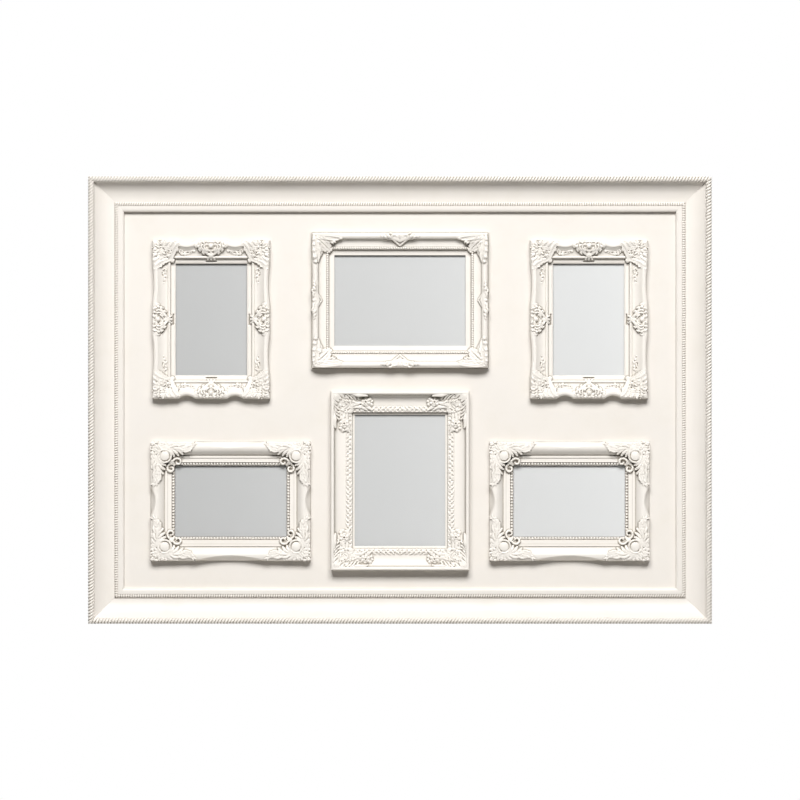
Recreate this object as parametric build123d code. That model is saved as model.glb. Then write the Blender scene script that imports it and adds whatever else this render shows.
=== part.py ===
from build123d import *
import os

# Collage photo frame: a moulded surround, a flat panel and six cast frames, hung on a wall.
# Millimetres. X runs to the right, Z up, and the front faces -Y. The wall is the plane y = 0.
# The origin is the point half way between the two keyholes that the frame hangs from.

# Photograph sizes
SMALL_PHOTO_SHORT = 101.6
SMALL_PHOTO_LONG = 152.4
LARGE_PHOTO_SHORT = 127.0
LARGE_PHOTO_LONG = 177.8

# How far a cast frame covers the edges of its photograph
COVER_ON_SHORT = 4.2
COVER_ON_LONG = 3.0

# Widths of the four cast mouldings, from the outer edge to the opening
SWEPT_BORDER = 30.6
BEADED_BORDER = 30.9
ROSETTE_BORDER = 31.6
FOLIAGE_BORDER = 31.2

# Space between the surround's inner edge and the cast frames, and between the frames
SWEPT_SIDE_MARGIN = 36.9
SWEPT_TOP_MARGIN = 36.9
ROSETTE_SIDE_MARGIN = 34.8
ROSETTE_BOTTOM_MARGIN = 35.6
BEADED_TOP_MARGIN = 25.6
FOLIAGE_BOTTOM_MARGIN = 23.7
ROW_GAP = 26.2
CENTRE_GAP = 28.3

# Section of the swept castings, heights above the panel
SWEPT_EDGE_HEIGHT = 9.0
SWEPT_RIM_HEIGHT = 14.0
SWEPT_RIM_ROUND = 4.0
SWEPT_RIM_FLAT = 2.5
SWEPT_COVE_FLOOR = 6.5
SWEPT_BEAD_RADIUS = 1.6
SWEPT_LIP_WIDTH = 6.6
SWEPT_LIP_HEIGHT = 3.6
SWEPT_LIP_FLAT = 3.9
SWEPT_LIP_EDGE = 1.6

# Scallops of the swept outline, and the full stretches between them
SWEPT_TOP_SCALLOP = 4.0
SWEPT_SIDE_SCALLOP = 2.0
SWEPT_CORNER_WIDTH = 35.0
SWEPT_CORNER_HEIGHT = 29.0
SWEPT_TOP_CREST = 21.0
SWEPT_SIDE_CREST = 20.0

# Section of the beaded casting
BEADED_FLANGE = 2.1
BEADED_FLANGE_HEIGHT = 3.5
BEADED_RIM_RADIUS = 4.0
BEADED_RIM_HEIGHT = 15.0
BEADED_RIM_STEP = 1.0
BEADED_COVE_FLOOR = 6.5
BEADED_PEARL_RADIUS = 1.6
BEADED_SLIP_WIDTH = 7.4
BEADED_SLIP_HEIGHT = 3.6
BEADED_SLIP_EDGE = 1.6

# Section of the rosette castings, and the scoops in their outer edges
ROSETTE_EDGE_HEIGHT = 6.0
ROSETTE_SHOULDER = 9.5
ROSETTE_CREST_HEIGHT = 13.5
ROSETTE_CREST_FLAT = 1.5
ROSETTE_QUIRK_WIDTH = 0.8
ROSETTE_FILLET_WIDTH = 2.6
ROSETTE_FILLET_RISE = 1.2
ROSETTE_BAND_WIDTH = 5.8
ROSETTE_BAND_HEIGHT = 4.2
ROSETTE_LAND_WIDTH = 4.2
ROSETTE_LAND_HEIGHT = 2.0
ROSETTE_PEARL_RADIUS = 1.6
ROSETTE_CORNER_LENGTH = 60.0
ROSETTE_SCOOP_DEPTH = 5.0
ROSETTE_SCOOP_BASE = 5.0

# Section of the foliage casting
FOLIAGE_RIM_RADIUS = 2.3
FOLIAGE_RIM_HEIGHT = 17.0
FOLIAGE_RIM_OVERHANG = 0.5
FOLIAGE_RIM_STEP = 2.4
FOLIAGE_COVE_FLOOR = 5.0
FOLIAGE_BAND_WIDTH = 7.6
FOLIAGE_BAND_RISE = 2.2
FOLIAGE_LIP_WIDTH = 3.6
FOLIAGE_LIP_HEIGHT = 1.8

# Carving in the corners: insets from the side and from the end, half width, half height, turn, top
CORNER_PADS = {
    "swept": [
        (13.4, 12.6, 12.4, 11.8, 0, 15.0), (15.6, 44, 2.8, 11.5, 0, 12.5), (43, 15.6, 11.7, 2.8, 0, 12.5),
    ],
    "beaded": [(15, 16, 15, 5, 45, 14.0), (28, 8.6, 15, 5, 0, 15.6), (8.6, 28, 5, 15, 0, 15.6)],
    "rosette": [
        (18.8, 19.8, 8.5, 8.5, 0, 14.6), (18.8, 19.8, 6.2, 6.2, 0, 16.0), (41, 12, 17, 6.5, 0, 14.4),
        (12, 43, 6.5, 17, 0, 14.4), (35.4, 27.7, 3.9, 3.9, 0, 11.5), (26.2, 36.1, 3.9, 3.9, 0, 11.5),
    ],
    "foliage": [
        (8.6, 8.6, 6.4, 6.4, 0, 18.4), (36, 11, 22, 8.4, 0, 15.6), (11, 36, 8.4, 22, 0, 15.6),
        (45, 14.6, 6.5, 6.5, 0, 17.0), (17.4, 41.6, 6.5, 6.5, 0, 17.0), (22, 20, 11, 5, 45, 13.6),
    ],
}

# Carving on the middles of the ends and of the sides: inset, half width, half height, top
END_PADS = {
    "swept": [(11.8, 21, 9.2, 14.8), (22.5, 3.2, 4.6, 11.0)],
    "beaded": [(11.2, 9, 8.5, 15.6), (7.4, 23.5, 4, 15.6)],
    "rosette": [],
    "foliage": [],
}
SIDE_PADS = {
    "swept": [(11.2, 9.8, 20, 14.8), (22.5, 4.6, 3.2, 11.0)],
    "beaded": [(8, 5, 23, 15.6)],
    "rosette": [],
    "foliage": [],
}

# Section of the surround
RAIL_WIDTH = 46.0
RAIL_DEPTH = 37.0
ROPE_RADIUS = 4.4
ROPE_OVERHANG = 0.8
COVE_START = 5.4
COVE_FLOOR = 18.5
INNER_BEAD_RADIUS = 3.0
INNER_BEAD_RISE = 0.4
BEAD_GROOVE = 0.4
LIP_WIDTH = 6.4
LIP_FLAT = 1.6
LIP_RISE = 2.4
LIP_EDGE = 4.5
REBATE_WIDTH = 9.0

# Panel and what lies in its windows
PANEL_RECESS = 9.0
PANEL_THICKNESS = 6.0
PANEL_CLEARANCE = 0.5
WINDOW_CLEARANCE = 0.7
GLASS_THICKNESS = 2.0
CARD_THICKNESS = 0.6

# Turn buttons on the back, and their screws
BUTTON_THICKNESS = 1.2
BUTTON_GAP = 0.15
BUTTON_PIVOT = 9.0
BUTTON_REACH = 14.0
BUTTON_TAIL_RADIUS = 5.5
BUTTON_TIP_RADIUS = 3.8
BUTTON_SCREW_RADIUS = 1.5
BUTTON_SCREW_GRIP = 5.0
BUTTON_HEAD_RADIUS = 3.3
BUTTON_HEAD_HEIGHT = 1.9
BUTTON_HEAD_ROUND = 0.8
RUNNING_CLEARANCE = 0.06

# Screws that hold the cast frames to the panel
CASTING_SCREW_RADIUS = 1.6
CASTING_SCREW_HEAD = 3.2
CASTING_SCREW_GRIP = 6.0
CASTING_SCREW_INSET = 12.0
SCREW_CLEARANCE = 0.05
RECESS_WIDTH = 0.9
RECESS_DEPTH = 0.8

# Nails across the mitres and points that hold the panel
NAIL_LEG = 5.0
NAIL_THICKNESS = 0.6
NAIL_DEPTH = 9.0
NAIL_FIRST = 13.0
NAIL_SPACING = 13.0
NAILS_PER_CORNER = 2
POINT_LENGTH = 16.0
POINT_WIDTH = 8.0
POINT_THICKNESS = 0.6
POINT_END_INSET = 70.0
POINTS_ON_LONG_RAIL = 5
POINTS_ON_SHORT_RAIL = 3
DRIVEN_CLEARANCE = 0.05

# Keyhole plates
HANGER_INSET = 147.1
HANGER_DROP = 21.0
PLATE_LENGTH = 56.0
PLATE_HEIGHT = 22.0
PLATE_THICKNESS = 1.6
PLATE_CENTRE_RISE = 2.6
PLATE_CLEARANCE = 0.15
KEYHOLE_RADIUS = 5.0
KEYHOLE_SLOT_WIDTH = 5.0
KEYHOLE_SLOT_RISE = 8.0
POCKET_MARGIN = 2.0
POCKET_DEPTH = 12.0
HANGER_SCREW_SPACING = 40.0
HANGER_SCREW_RADIUS = 1.6
HANGER_SCREW_HEAD = 3.0
HANGER_SCREW_LENGTH = 14.0

# Extra reach of a cutting shape past what it cuts
CUT_MARGIN = 1.0

# Distances from the wall
panel_front = PANEL_RECESS + PANEL_THICKNESS
board_thickness = PANEL_THICKNESS - GLASS_THICKNESS - CARD_THICKNESS
button_front = PANEL_RECESS - BUTTON_GAP
button_back = button_front - BUTTON_THICKNESS
button_head_front = button_back - BUTTON_GAP

# Photographs, as width and height on the wall
small_upright = (SMALL_PHOTO_SHORT, SMALL_PHOTO_LONG)
small_lying = (SMALL_PHOTO_LONG, SMALL_PHOTO_SHORT)
large_upright = (LARGE_PHOTO_SHORT, LARGE_PHOTO_LONG)
large_lying = (LARGE_PHOTO_LONG, LARGE_PHOTO_SHORT)


def sight_size(photo):
    """Opening of a cast frame in front of a photograph."""
    width, height = photo
    if width < height:
        return width - 2 * COVER_ON_SHORT, height - 2 * COVER_ON_LONG
    return width - 2 * COVER_ON_LONG, height - 2 * COVER_ON_SHORT


def outer_size(photo, border):
    """Outer size of a cast frame round a photograph."""
    width, height = sight_size(photo)
    return width + 2 * border, height + 2 * border


swept_width, swept_height = outer_size(small_upright, SWEPT_BORDER)
beaded_width, beaded_height = outer_size(large_lying, BEADED_BORDER)
rosette_width, rosette_height = outer_size(small_lying, ROSETTE_BORDER)
foliage_width, foliage_height = outer_size(large_upright, FOLIAGE_BORDER)

# The surround's inner opening holds the wider of the two rows and the taller of the two columns
opening_width = max(
    2 * (ROSETTE_SIDE_MARGIN + rosette_width + ROW_GAP) + foliage_width,
    2 * (SWEPT_SIDE_MARGIN + swept_width + ROW_GAP) + beaded_width,
)
opening_height = max(
    BEADED_TOP_MARGIN + beaded_height + CENTRE_GAP + foliage_height + FOLIAGE_BOTTOM_MARGIN,
    SWEPT_TOP_MARGIN + swept_height + CENTRE_GAP + rosette_height + ROSETTE_BOTTOM_MARGIN,
)
frame_width = opening_width + 2 * RAIL_WIDTH
frame_height = opening_height + 2 * RAIL_WIDTH
rebate_width = opening_width + 2 * REBATE_WIDTH
rebate_height = opening_height + 2 * REBATE_WIDTH

# Places of the keyholes. The model is drawn about the middle of the frame and lowered by their height
hanger_reach = frame_width / 2 - HANGER_INSET
hanger_height = frame_height / 2 - HANGER_DROP

swept_x = opening_width / 2 - SWEPT_SIDE_MARGIN - swept_width / 2
swept_z = opening_height / 2 - SWEPT_TOP_MARGIN - swept_height / 2
rosette_x = opening_width / 2 - ROSETTE_SIDE_MARGIN - rosette_width / 2
rosette_z = ROSETTE_BOTTOM_MARGIN + rosette_height / 2 - opening_height / 2
beaded_z = opening_height / 2 - BEADED_TOP_MARGIN - beaded_height / 2
foliage_z = FOLIAGE_BOTTOM_MARGIN + foliage_height / 2 - opening_height / 2

# Place, photograph and moulding of each cast frame
FRAMES = {
    "top_left": (-swept_x, swept_z, small_upright, "swept"),
    "top_centre": (0.0, beaded_z, large_lying, "beaded"),
    "top_right": (swept_x, swept_z, small_upright, "swept"),
    "bottom_left": (-rosette_x, rosette_z, small_lying, "rosette"),
    "bottom_centre": (0.0, foliage_z, large_upright, "foliage"),
    "bottom_right": (rosette_x, rosette_z, small_lying, "rosette"),
}

# Quarter turns that carry a bottom bar to each side
SIDE_TURNS = {"bottom": 0, "left": 90, "top": 180, "right": 270}
CORNERS = [(-1, -1), (1, -1), (1, 1), (-1, 1)]


def slab(sketch, back, front):
    """Solid between two distances from the wall, from a sketch drawn as seen from the front."""
    return extrude(Plane.XZ.offset(back) * sketch, amount=front - back)


def at(x, z, sketch):
    """Sketch moved to a place on the front view."""
    return Pos(x, z) * sketch


def mirrored(sketch):
    """Sketch repeated left to right and top to bottom."""
    half = sketch + mirror(sketch, about=Plane.YZ)
    return half + mirror(half, about=Plane.XZ)


def quarter_down(start, end):
    """Hollow quarter ellipse that leaves start steeply and reaches end level."""
    return EllipticalCenterArc((end[0], start[1]), end[0] - start[0], start[1] - end[1], 180, arc_size=90)


def arc_down(start, end):
    """Hollow circular arc that leaves start on a slope and reaches end level."""
    return TangentArc(end, start, tangent=(-1, 0))


def quarter_up(start, end):
    """Rounded quarter ellipse that leaves start upright and reaches end level."""
    return EllipticalCenterArc((end[0], start[1]), end[0] - start[0], end[1] - start[1], 90, arc_size=90)


def quarter_over(start, end):
    """Rounded quarter ellipse that leaves start level and drops upright to end."""
    return EllipticalCenterArc((start[0], end[1]), end[0] - start[0], start[1] - end[1], 0, arc_size=90)


def section(*edges):
    """Face of a moulding, from edges that follow each other round its outline."""
    return make_face(Curve() + list(edges))


def rail_section():
    """Surround: rope bead, cove, small bead and rounded lip over a rebate for the panel."""
    rope_centre = RAIL_DEPTH - ROPE_RADIUS
    rope_inside = 2 * ROPE_RADIUS - ROPE_OVERHANG
    cove_top = rope_centre - COVE_START
    lip_start = RAIL_WIDTH - LIP_WIDTH
    cove_foot = lip_start - BEAD_GROOVE - 2 * INNER_BEAD_RADIUS
    lip_edge = panel_front + LIP_EDGE
    lip_top = lip_edge + LIP_RISE
    rebate_wall = RAIL_WIDTH - REBATE_WIDTH
    outline = section(
        Polyline((ROPE_OVERHANG, 0), (ROPE_OVERHANG, rope_centre), (rope_inside, rope_centre)),
        Line((rope_inside, rope_centre), (rope_inside, cove_top)),
        arc_down((rope_inside, cove_top), (cove_foot, COVE_FLOOR)),
        Polyline((cove_foot, COVE_FLOOR), (lip_start, COVE_FLOOR), (lip_start, lip_top)),
        Line((lip_start, lip_top), (lip_start + LIP_FLAT, lip_top)),
        quarter_over((lip_start + LIP_FLAT, lip_top), (RAIL_WIDTH, lip_edge)),
        Polyline(
            (RAIL_WIDTH, lip_edge), (RAIL_WIDTH, panel_front), (rebate_wall, panel_front), (rebate_wall, 0),
            (ROPE_OVERHANG, 0),
        ),
    )
    rope = at(ROPE_RADIUS, rope_centre, Circle(ROPE_RADIUS))
    bead = at(cove_foot + INNER_BEAD_RADIUS, COVE_FLOOR + INNER_BEAD_RISE, Circle(INNER_BEAD_RADIUS))
    return outline + rope + bead


def mitred_bar(profile, length, width):
    """Bar along X with its outer edge at z = 0, cut at 45 degrees at both ends."""
    end = Plane(origin=(-length / 2, 0, 0), x_dir=(0, 0, 1), z_dir=(1, 0, 0))
    bar = extrude(end * profile, amount=length)
    half = length / 2
    mitre = Polygon((-half, 0), (half, 0), (half - width, width), (width - half, width), align=None)
    return bar & slab(mitre, -CUT_MARGIN, RAIL_DEPTH + CUT_MARGIN)


def surround(profile, width, height, border):
    """Four mitred bars of one moulding about the middle, by side."""
    bars = {}
    for side, turn in SIDE_TURNS.items():
        upright = side in ("left", "right")
        length = height if upright else width
        reach = (width if upright else height) / 2
        bars[side] = Rot(0, turn, 0) * Pos(0, 0, -reach) * mitred_bar(profile, length, border)
    return bars


def swept_section():
    """Cast moulding with a rounded rim, a cove, a fine bead and a flat lip with a bevel."""
    lip_start = SWEPT_BORDER - SWEPT_LIP_WIDTH
    cove_foot = lip_start - 2 * SWEPT_BEAD_RADIUS
    bevel_start = lip_start + SWEPT_LIP_FLAT
    rim_end = SWEPT_RIM_ROUND + SWEPT_RIM_FLAT
    outline = section(
        Polyline((0, 0), (0, SWEPT_EDGE_HEIGHT)),
        quarter_up((0, SWEPT_EDGE_HEIGHT), (SWEPT_RIM_ROUND, SWEPT_RIM_HEIGHT)),
        Line((SWEPT_RIM_ROUND, SWEPT_RIM_HEIGHT), (rim_end, SWEPT_RIM_HEIGHT)),
        arc_down((rim_end, SWEPT_RIM_HEIGHT), (cove_foot, SWEPT_COVE_FLOOR)),
        Polyline(
            (cove_foot, SWEPT_COVE_FLOOR), (lip_start, SWEPT_COVE_FLOOR), (lip_start, SWEPT_LIP_HEIGHT),
            (bevel_start, SWEPT_LIP_HEIGHT), (SWEPT_BORDER, SWEPT_LIP_EDGE), (SWEPT_BORDER, 0), (0, 0),
        ),
    )
    return outline + at(cove_foot + SWEPT_BEAD_RADIUS, SWEPT_COVE_FLOOR, Circle(SWEPT_BEAD_RADIUS))


def beaded_section():
    """Cast moulding with a base flange, a half-round rim, a cove, a pearl row and a flat slip."""
    rim_end = BEADED_FLANGE + 2 * BEADED_RIM_RADIUS
    rim_shoulder = BEADED_RIM_HEIGHT - BEADED_RIM_RADIUS
    slip_start = BEADED_BORDER - BEADED_SLIP_WIDTH
    cove_foot = slip_start - 2 * BEADED_PEARL_RADIUS
    outline = section(
        Polyline(
            (0, 0), (0, BEADED_FLANGE_HEIGHT), (BEADED_FLANGE, BEADED_FLANGE_HEIGHT),
            (BEADED_FLANGE, rim_shoulder), (rim_end, rim_shoulder), (rim_end, rim_shoulder - BEADED_RIM_STEP),
        ),
        quarter_down((rim_end, rim_shoulder - BEADED_RIM_STEP), (cove_foot, BEADED_COVE_FLOOR)),
        Polyline(
            (cove_foot, BEADED_COVE_FLOOR), (slip_start, BEADED_COVE_FLOOR), (slip_start, BEADED_SLIP_HEIGHT),
            (BEADED_BORDER, BEADED_SLIP_EDGE), (BEADED_BORDER, 0), (0, 0),
        ),
    )
    rim = at(BEADED_FLANGE + BEADED_RIM_RADIUS, rim_shoulder, Circle(BEADED_RIM_RADIUS))
    pearls = at(cove_foot + BEADED_PEARL_RADIUS, BEADED_COVE_FLOOR, Circle(BEADED_PEARL_RADIUS))
    return outline + rim + pearls


def rosette_section():
    """Cast moulding with a rounded shoulder and back, a quirk, a fillet, a flat band and a pearl row."""
    crest_end = ROSETTE_SHOULDER + ROSETTE_CREST_FLAT
    land_start = ROSETTE_BORDER - ROSETTE_LAND_WIDTH
    band_start = land_start - ROSETTE_BAND_WIDTH
    fillet_start = band_start - ROSETTE_FILLET_WIDTH
    fillet_height = ROSETTE_BAND_HEIGHT + ROSETTE_FILLET_RISE
    quirk_start = fillet_start - ROSETTE_QUIRK_WIDTH
    outline = section(
        Polyline((0, 0), (0, ROSETTE_EDGE_HEIGHT)),
        quarter_up((0, ROSETTE_EDGE_HEIGHT), (ROSETTE_SHOULDER, ROSETTE_CREST_HEIGHT)),
        Line((ROSETTE_SHOULDER, ROSETTE_CREST_HEIGHT), (crest_end, ROSETTE_CREST_HEIGHT)),
        quarter_over((crest_end, ROSETTE_CREST_HEIGHT), (quirk_start, ROSETTE_BAND_HEIGHT)),
        Polyline(
            (quirk_start, ROSETTE_BAND_HEIGHT), (fillet_start, ROSETTE_BAND_HEIGHT),
            (fillet_start, fillet_height), (band_start, fillet_height),
            (band_start, ROSETTE_BAND_HEIGHT), (land_start, ROSETTE_BAND_HEIGHT),
            (land_start, ROSETTE_LAND_HEIGHT), (ROSETTE_BORDER, ROSETTE_LAND_HEIGHT),
            (ROSETTE_BORDER, 0), (0, 0),
        ),
    )
    pearl_place = land_start + ROSETTE_LAND_WIDTH / 2
    return outline + at(pearl_place, ROSETTE_LAND_HEIGHT, Circle(ROSETTE_PEARL_RADIUS))


def foliage_section():
    """Cast moulding with a thin bead, a deep cove, a carved half-round band and a flat lip."""
    rim_shoulder = FOLIAGE_RIM_HEIGHT - FOLIAGE_RIM_RADIUS
    rim_end = 2 * FOLIAGE_RIM_RADIUS
    lip_start = FOLIAGE_BORDER - FOLIAGE_LIP_WIDTH
    band_start = lip_start - FOLIAGE_BAND_WIDTH
    outline = section(
        Polyline((FOLIAGE_RIM_OVERHANG, 0), (FOLIAGE_RIM_OVERHANG, rim_shoulder), (rim_end, rim_shoulder)),
        Line((rim_end, rim_shoulder), (rim_end, rim_shoulder - FOLIAGE_RIM_STEP)),
        quarter_down((rim_end, rim_shoulder - FOLIAGE_RIM_STEP), (band_start, FOLIAGE_COVE_FLOOR)),
        Polyline(
            (band_start, FOLIAGE_COVE_FLOOR), (lip_start, FOLIAGE_COVE_FLOOR),
            (lip_start, FOLIAGE_LIP_HEIGHT), (FOLIAGE_BORDER, FOLIAGE_LIP_HEIGHT), (FOLIAGE_BORDER, 0),
            (FOLIAGE_RIM_OVERHANG, 0),
        ),
    )
    rim = at(FOLIAGE_RIM_RADIUS, rim_shoulder, Circle(FOLIAGE_RIM_RADIUS))
    band_half = FOLIAGE_BAND_WIDTH / 2
    band = at(band_start + band_half, FOLIAGE_COVE_FLOOR, Ellipse(band_half, FOLIAGE_BAND_RISE))
    return outline + rim + band


def edge_segment(chord, depth):
    """Circle that cuts a segment of this chord and depth into the edge z = 0 from above."""
    radius = (chord**2 / 4 + depth**2) / (2 * depth)
    return at(0, radius - depth, Circle(radius))


def swept_cuts(width, height):
    """Shallow scallops in the outline between the corners and the crests."""
    top_chord = width / 2 - SWEPT_CORNER_WIDTH - SWEPT_TOP_CREST
    side_chord = height / 2 - SWEPT_CORNER_HEIGHT - SWEPT_SIDE_CREST
    top = at(SWEPT_TOP_CREST + top_chord / 2, height / 2, edge_segment(top_chord, SWEPT_TOP_SCALLOP))
    side = Rot(0, 0, -90) * edge_segment(side_chord, SWEPT_SIDE_SCALLOP)
    side = at(width / 2, SWEPT_SIDE_CREST + side_chord / 2, side)
    return slab(mirrored(top + side), panel_front - CUT_MARGIN, panel_front + SWEPT_RIM_HEIGHT + CUT_MARGIN)


def rosette_cuts(width, height):
    """Scoops in the middle of each outer edge, above a base that stays straight."""
    top = at(0, height / 2, edge_segment(width - 2 * ROSETTE_CORNER_LENGTH, ROSETTE_SCOOP_DEPTH))
    side = Rot(0, 0, -90) * edge_segment(height - 2 * ROSETTE_CORNER_LENGTH, ROSETTE_SCOOP_DEPTH)
    cuts = mirrored(top + at(width / 2, 0, side))
    return slab(cuts, panel_front + ROSETTE_SCOOP_BASE, panel_front + ROSETTE_CREST_HEIGHT + CUT_MARGIN)


def ornaments(kind, width, height):
    """Raised carving of a cast frame, as rounded pads in its four corners and on its four middles."""
    pads = []
    for side_inset, end_inset, half_width, half_height, turn, top in CORNER_PADS[kind]:
        pad = Rot(0, 0, turn) * Ellipse(half_width, half_height)
        pads.append((at(width / 2 - side_inset, height / 2 - end_inset, pad), top))
    for inset, half_width, half_height, top in END_PADS[kind]:
        pads.append((at(0, height / 2 - inset, Ellipse(half_width, half_height)), top))
    for inset, half_width, half_height, top in SIDE_PADS[kind]:
        pads.append((at(width / 2 - inset, 0, Ellipse(half_width, half_height)), top))
    return [slab(mirrored(pad), panel_front + CUT_MARGIN, panel_front + top) for pad, top in pads]


def casting(kind, photo):
    """One cast frame about its own middle, with holes for the screws behind it."""
    profile, border = MOULDINGS[kind]
    width, height = outer_size(photo, border)
    bars = surround(profile(), width, height, border)
    frame = Pos(0, -panel_front, 0) * (bars["bottom"] + bars["left"] + bars["top"] + bars["right"])
    if kind == "swept":
        frame -= swept_cuts(width, height)
    if kind == "rosette":
        frame -= rosette_cuts(width, height)
    frame += ornaments(kind, width, height)
    for x, z in casting_screw_places(photo, border):
        hole = Circle(CASTING_SCREW_RADIUS + SCREW_CLEARANCE)
        frame -= slab(at(x, z, hole), panel_front - CUT_MARGIN, panel_front + CASTING_SCREW_GRIP)
    return frame


def casting_screw_places(photo, border):
    """Four screws of one cast frame, from its own middle."""
    width, height = outer_size(photo, border)
    reach_x = width / 2 - CASTING_SCREW_INSET
    reach_z = height / 2 - CASTING_SCREW_INSET
    return [(side * reach_x, end * reach_z) for side, end in CORNERS]


def countersunk(x, z, back, head, radius, length):
    """Flat-headed screw shape, driven from the back."""
    sink = Cone(head, radius, head - radius, align=(Align.CENTER, Align.CENTER, Align.MIN))
    return slab(at(x, z, Circle(radius)), back, back + length) + Pos(x, -back, z) * Rot(90, 0, 0) * sink


def cross_recess(x, z, back, head):
    """Cross cut into the back of a screw head."""
    cross = Rectangle(head, RECESS_WIDTH) + Rectangle(RECESS_WIDTH, head)
    return slab(at(x, z, cross), back - CUT_MARGIN, back + RECESS_DEPTH)


def flat_screw(x, z, back, head, radius, length):
    """Countersunk screw with its cross recess."""
    return countersunk(x, z, back, head, radius, length) - cross_recess(x, z, back, head)


def button_places(photo):
    """Turn buttons of one window, by side: pivot from the window's middle, and pointing angle."""
    width, height = photo
    reach_x = width / 2 + WINDOW_CLEARANCE + BUTTON_PIVOT
    reach_z = height / 2 + WINDOW_CLEARANCE + BUTTON_PIVOT
    places = {
        "left": (-reach_x, 0, 0),
        "right": (reach_x, 0, 180),
        "bottom": (0, -reach_z, 90),
        "top": (0, reach_z, -90),
    }
    if photo == small_upright:
        return {side: places[side] for side in ("left", "right")}
    if photo == small_lying:
        return {side: places[side] for side in ("bottom", "top")}
    return places


def turn_button(x, z, angle):
    """Flat turn button, wide at its screw and narrow at its tip."""
    tip = Pos(BUTTON_REACH, 0) * Circle(BUTTON_TIP_RADIUS)
    outline = make_hull(Circle(BUTTON_TAIL_RADIUS).edges() + tip.edges())
    outline -= Circle(BUTTON_SCREW_RADIUS + RUNNING_CLEARANCE)
    return slab(at(x, z, Rot(0, 0, angle) * outline), button_back, button_front)


def button_screw(x, z):
    """Round-headed screw that a turn button swings on."""
    head_back = button_head_front - BUTTON_HEAD_HEIGHT
    head = slab(at(x, z, Circle(BUTTON_HEAD_RADIUS)), head_back, button_head_front)
    head = fillet(head.faces().sort_by(Axis.Y)[-1].edges(), BUTTON_HEAD_ROUND)
    shank = slab(at(x, z, Circle(BUTTON_SCREW_RADIUS)), button_head_front, PANEL_RECESS + BUTTON_SCREW_GRIP)
    return head + shank - cross_recess(x, z, head_back, BUTTON_HEAD_RADIUS)


def all_button_places():
    """Every turn button of the frame: place name, side, pivot and pointing angle."""
    found = []
    for place, (x, z, photo, kind) in FRAMES.items():
        for side, (dx, dz, angle) in button_places(photo).items():
            found.append((place, side, x + dx, z + dz, angle))
    return found


def all_casting_screw_places():
    """Every screw that holds a cast frame, from the middle of the whole frame."""
    found = []
    for x, z, photo, kind in FRAMES.values():
        border = MOULDINGS[kind][1]
        found += [(x + dx, z + dz) for dx, dz in casting_screw_places(photo, border)]
    return found


def panel():
    """Panel with six windows, and holes for the screws of the cast frames and the turn buttons."""
    board = Rectangle(rebate_width - 2 * PANEL_CLEARANCE, rebate_height - 2 * PANEL_CLEARANCE)
    for x, z, photo, kind in FRAMES.values():
        board -= at(x, z, Rectangle(photo[0] + 2 * WINDOW_CLEARANCE, photo[1] + 2 * WINDOW_CLEARANCE))
    board = slab(board, PANEL_RECESS, panel_front)
    head = CASTING_SCREW_HEAD + SCREW_CLEARANCE
    radius = CASTING_SCREW_RADIUS + SCREW_CLEARANCE
    for x, z in all_casting_screw_places():
        board -= countersunk(x, z, PANEL_RECESS, head, radius, PANEL_THICKNESS + CUT_MARGIN)
    for place, side, x, z, angle in all_button_places():
        hole = Circle(BUTTON_SCREW_RADIUS + SCREW_CLEARANCE)
        board -= slab(at(x, z, hole), PANEL_RECESS - CUT_MARGIN, PANEL_RECESS + BUTTON_SCREW_GRIP)
    return board


def corner_nails(clearance):
    """Angled nails across each mitre, or their slots when a clearance is given."""
    leg = NAIL_LEG + clearance
    thickness = NAIL_THICKNESS + 2 * clearance
    nails = []
    for side, end in CORNERS:
        for step in range(NAILS_PER_CORNER):
            inset = NAIL_FIRST + step * NAIL_SPACING
            x = side * (frame_width / 2 - inset)
            z = end * (frame_height / 2 - inset)
            along = at(x - side * (leg - thickness / 2) / 2, z, Rectangle(leg + thickness / 2, thickness))
            across = at(x, z - end * (leg - thickness / 2) / 2, Rectangle(thickness, leg + thickness / 2))
            nails.append(slab(along + across, 0, NAIL_DEPTH))
    return nails


def spread(count, reach):
    """Places evenly spread from -reach to reach."""
    return [reach * (2 * step / (count - 1) - 1) for step in range(count)]


def panel_points(clearance):
    """Flat points driven into the rebate's wall over the panel's back, or their slots."""
    length = POINT_LENGTH + 2 * clearance
    width = POINT_WIDTH + 2 * clearance
    points = []
    for x in spread(POINTS_ON_LONG_RAIL, rebate_width / 2 - POINT_END_INSET):
        points += [at(x, end * rebate_height / 2, Rectangle(width, length)) for end in (-1, 1)]
    for z in spread(POINTS_ON_SHORT_RAIL, rebate_height / 2 - POINT_END_INSET):
        points += [at(side * rebate_width / 2, z, Rectangle(length, width)) for side in (-1, 1)]
    return [slab(point, PANEL_RECESS - POINT_THICKNESS - clearance, PANEL_RECESS) for point in points]


def keyhole():
    """Round entry with a narrow slot that rises from it."""
    slot_end = at(0, KEYHOLE_SLOT_RISE, Circle(KEYHOLE_SLOT_WIDTH / 2))
    slot = at(0, KEYHOLE_SLOT_RISE / 2, Rectangle(KEYHOLE_SLOT_WIDTH, KEYHOLE_SLOT_RISE))
    return Circle(KEYHOLE_RADIUS) + slot + slot_end


def plate_outline(clearance):
    """Round-ended outline of a keyhole plate, from the middle of its keyhole's entry."""
    return at(0, PLATE_CENTRE_RISE, SlotOverall(PLATE_LENGTH + 2 * clearance, PLATE_HEIGHT + 2 * clearance))


def hanger_screw_places(x):
    """Two screws of the keyhole plate whose keyhole is at x."""
    z = hanger_height + PLATE_CENTRE_RISE
    return [(x - HANGER_SCREW_SPACING / 2, z), (x + HANGER_SCREW_SPACING / 2, z)]


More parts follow.
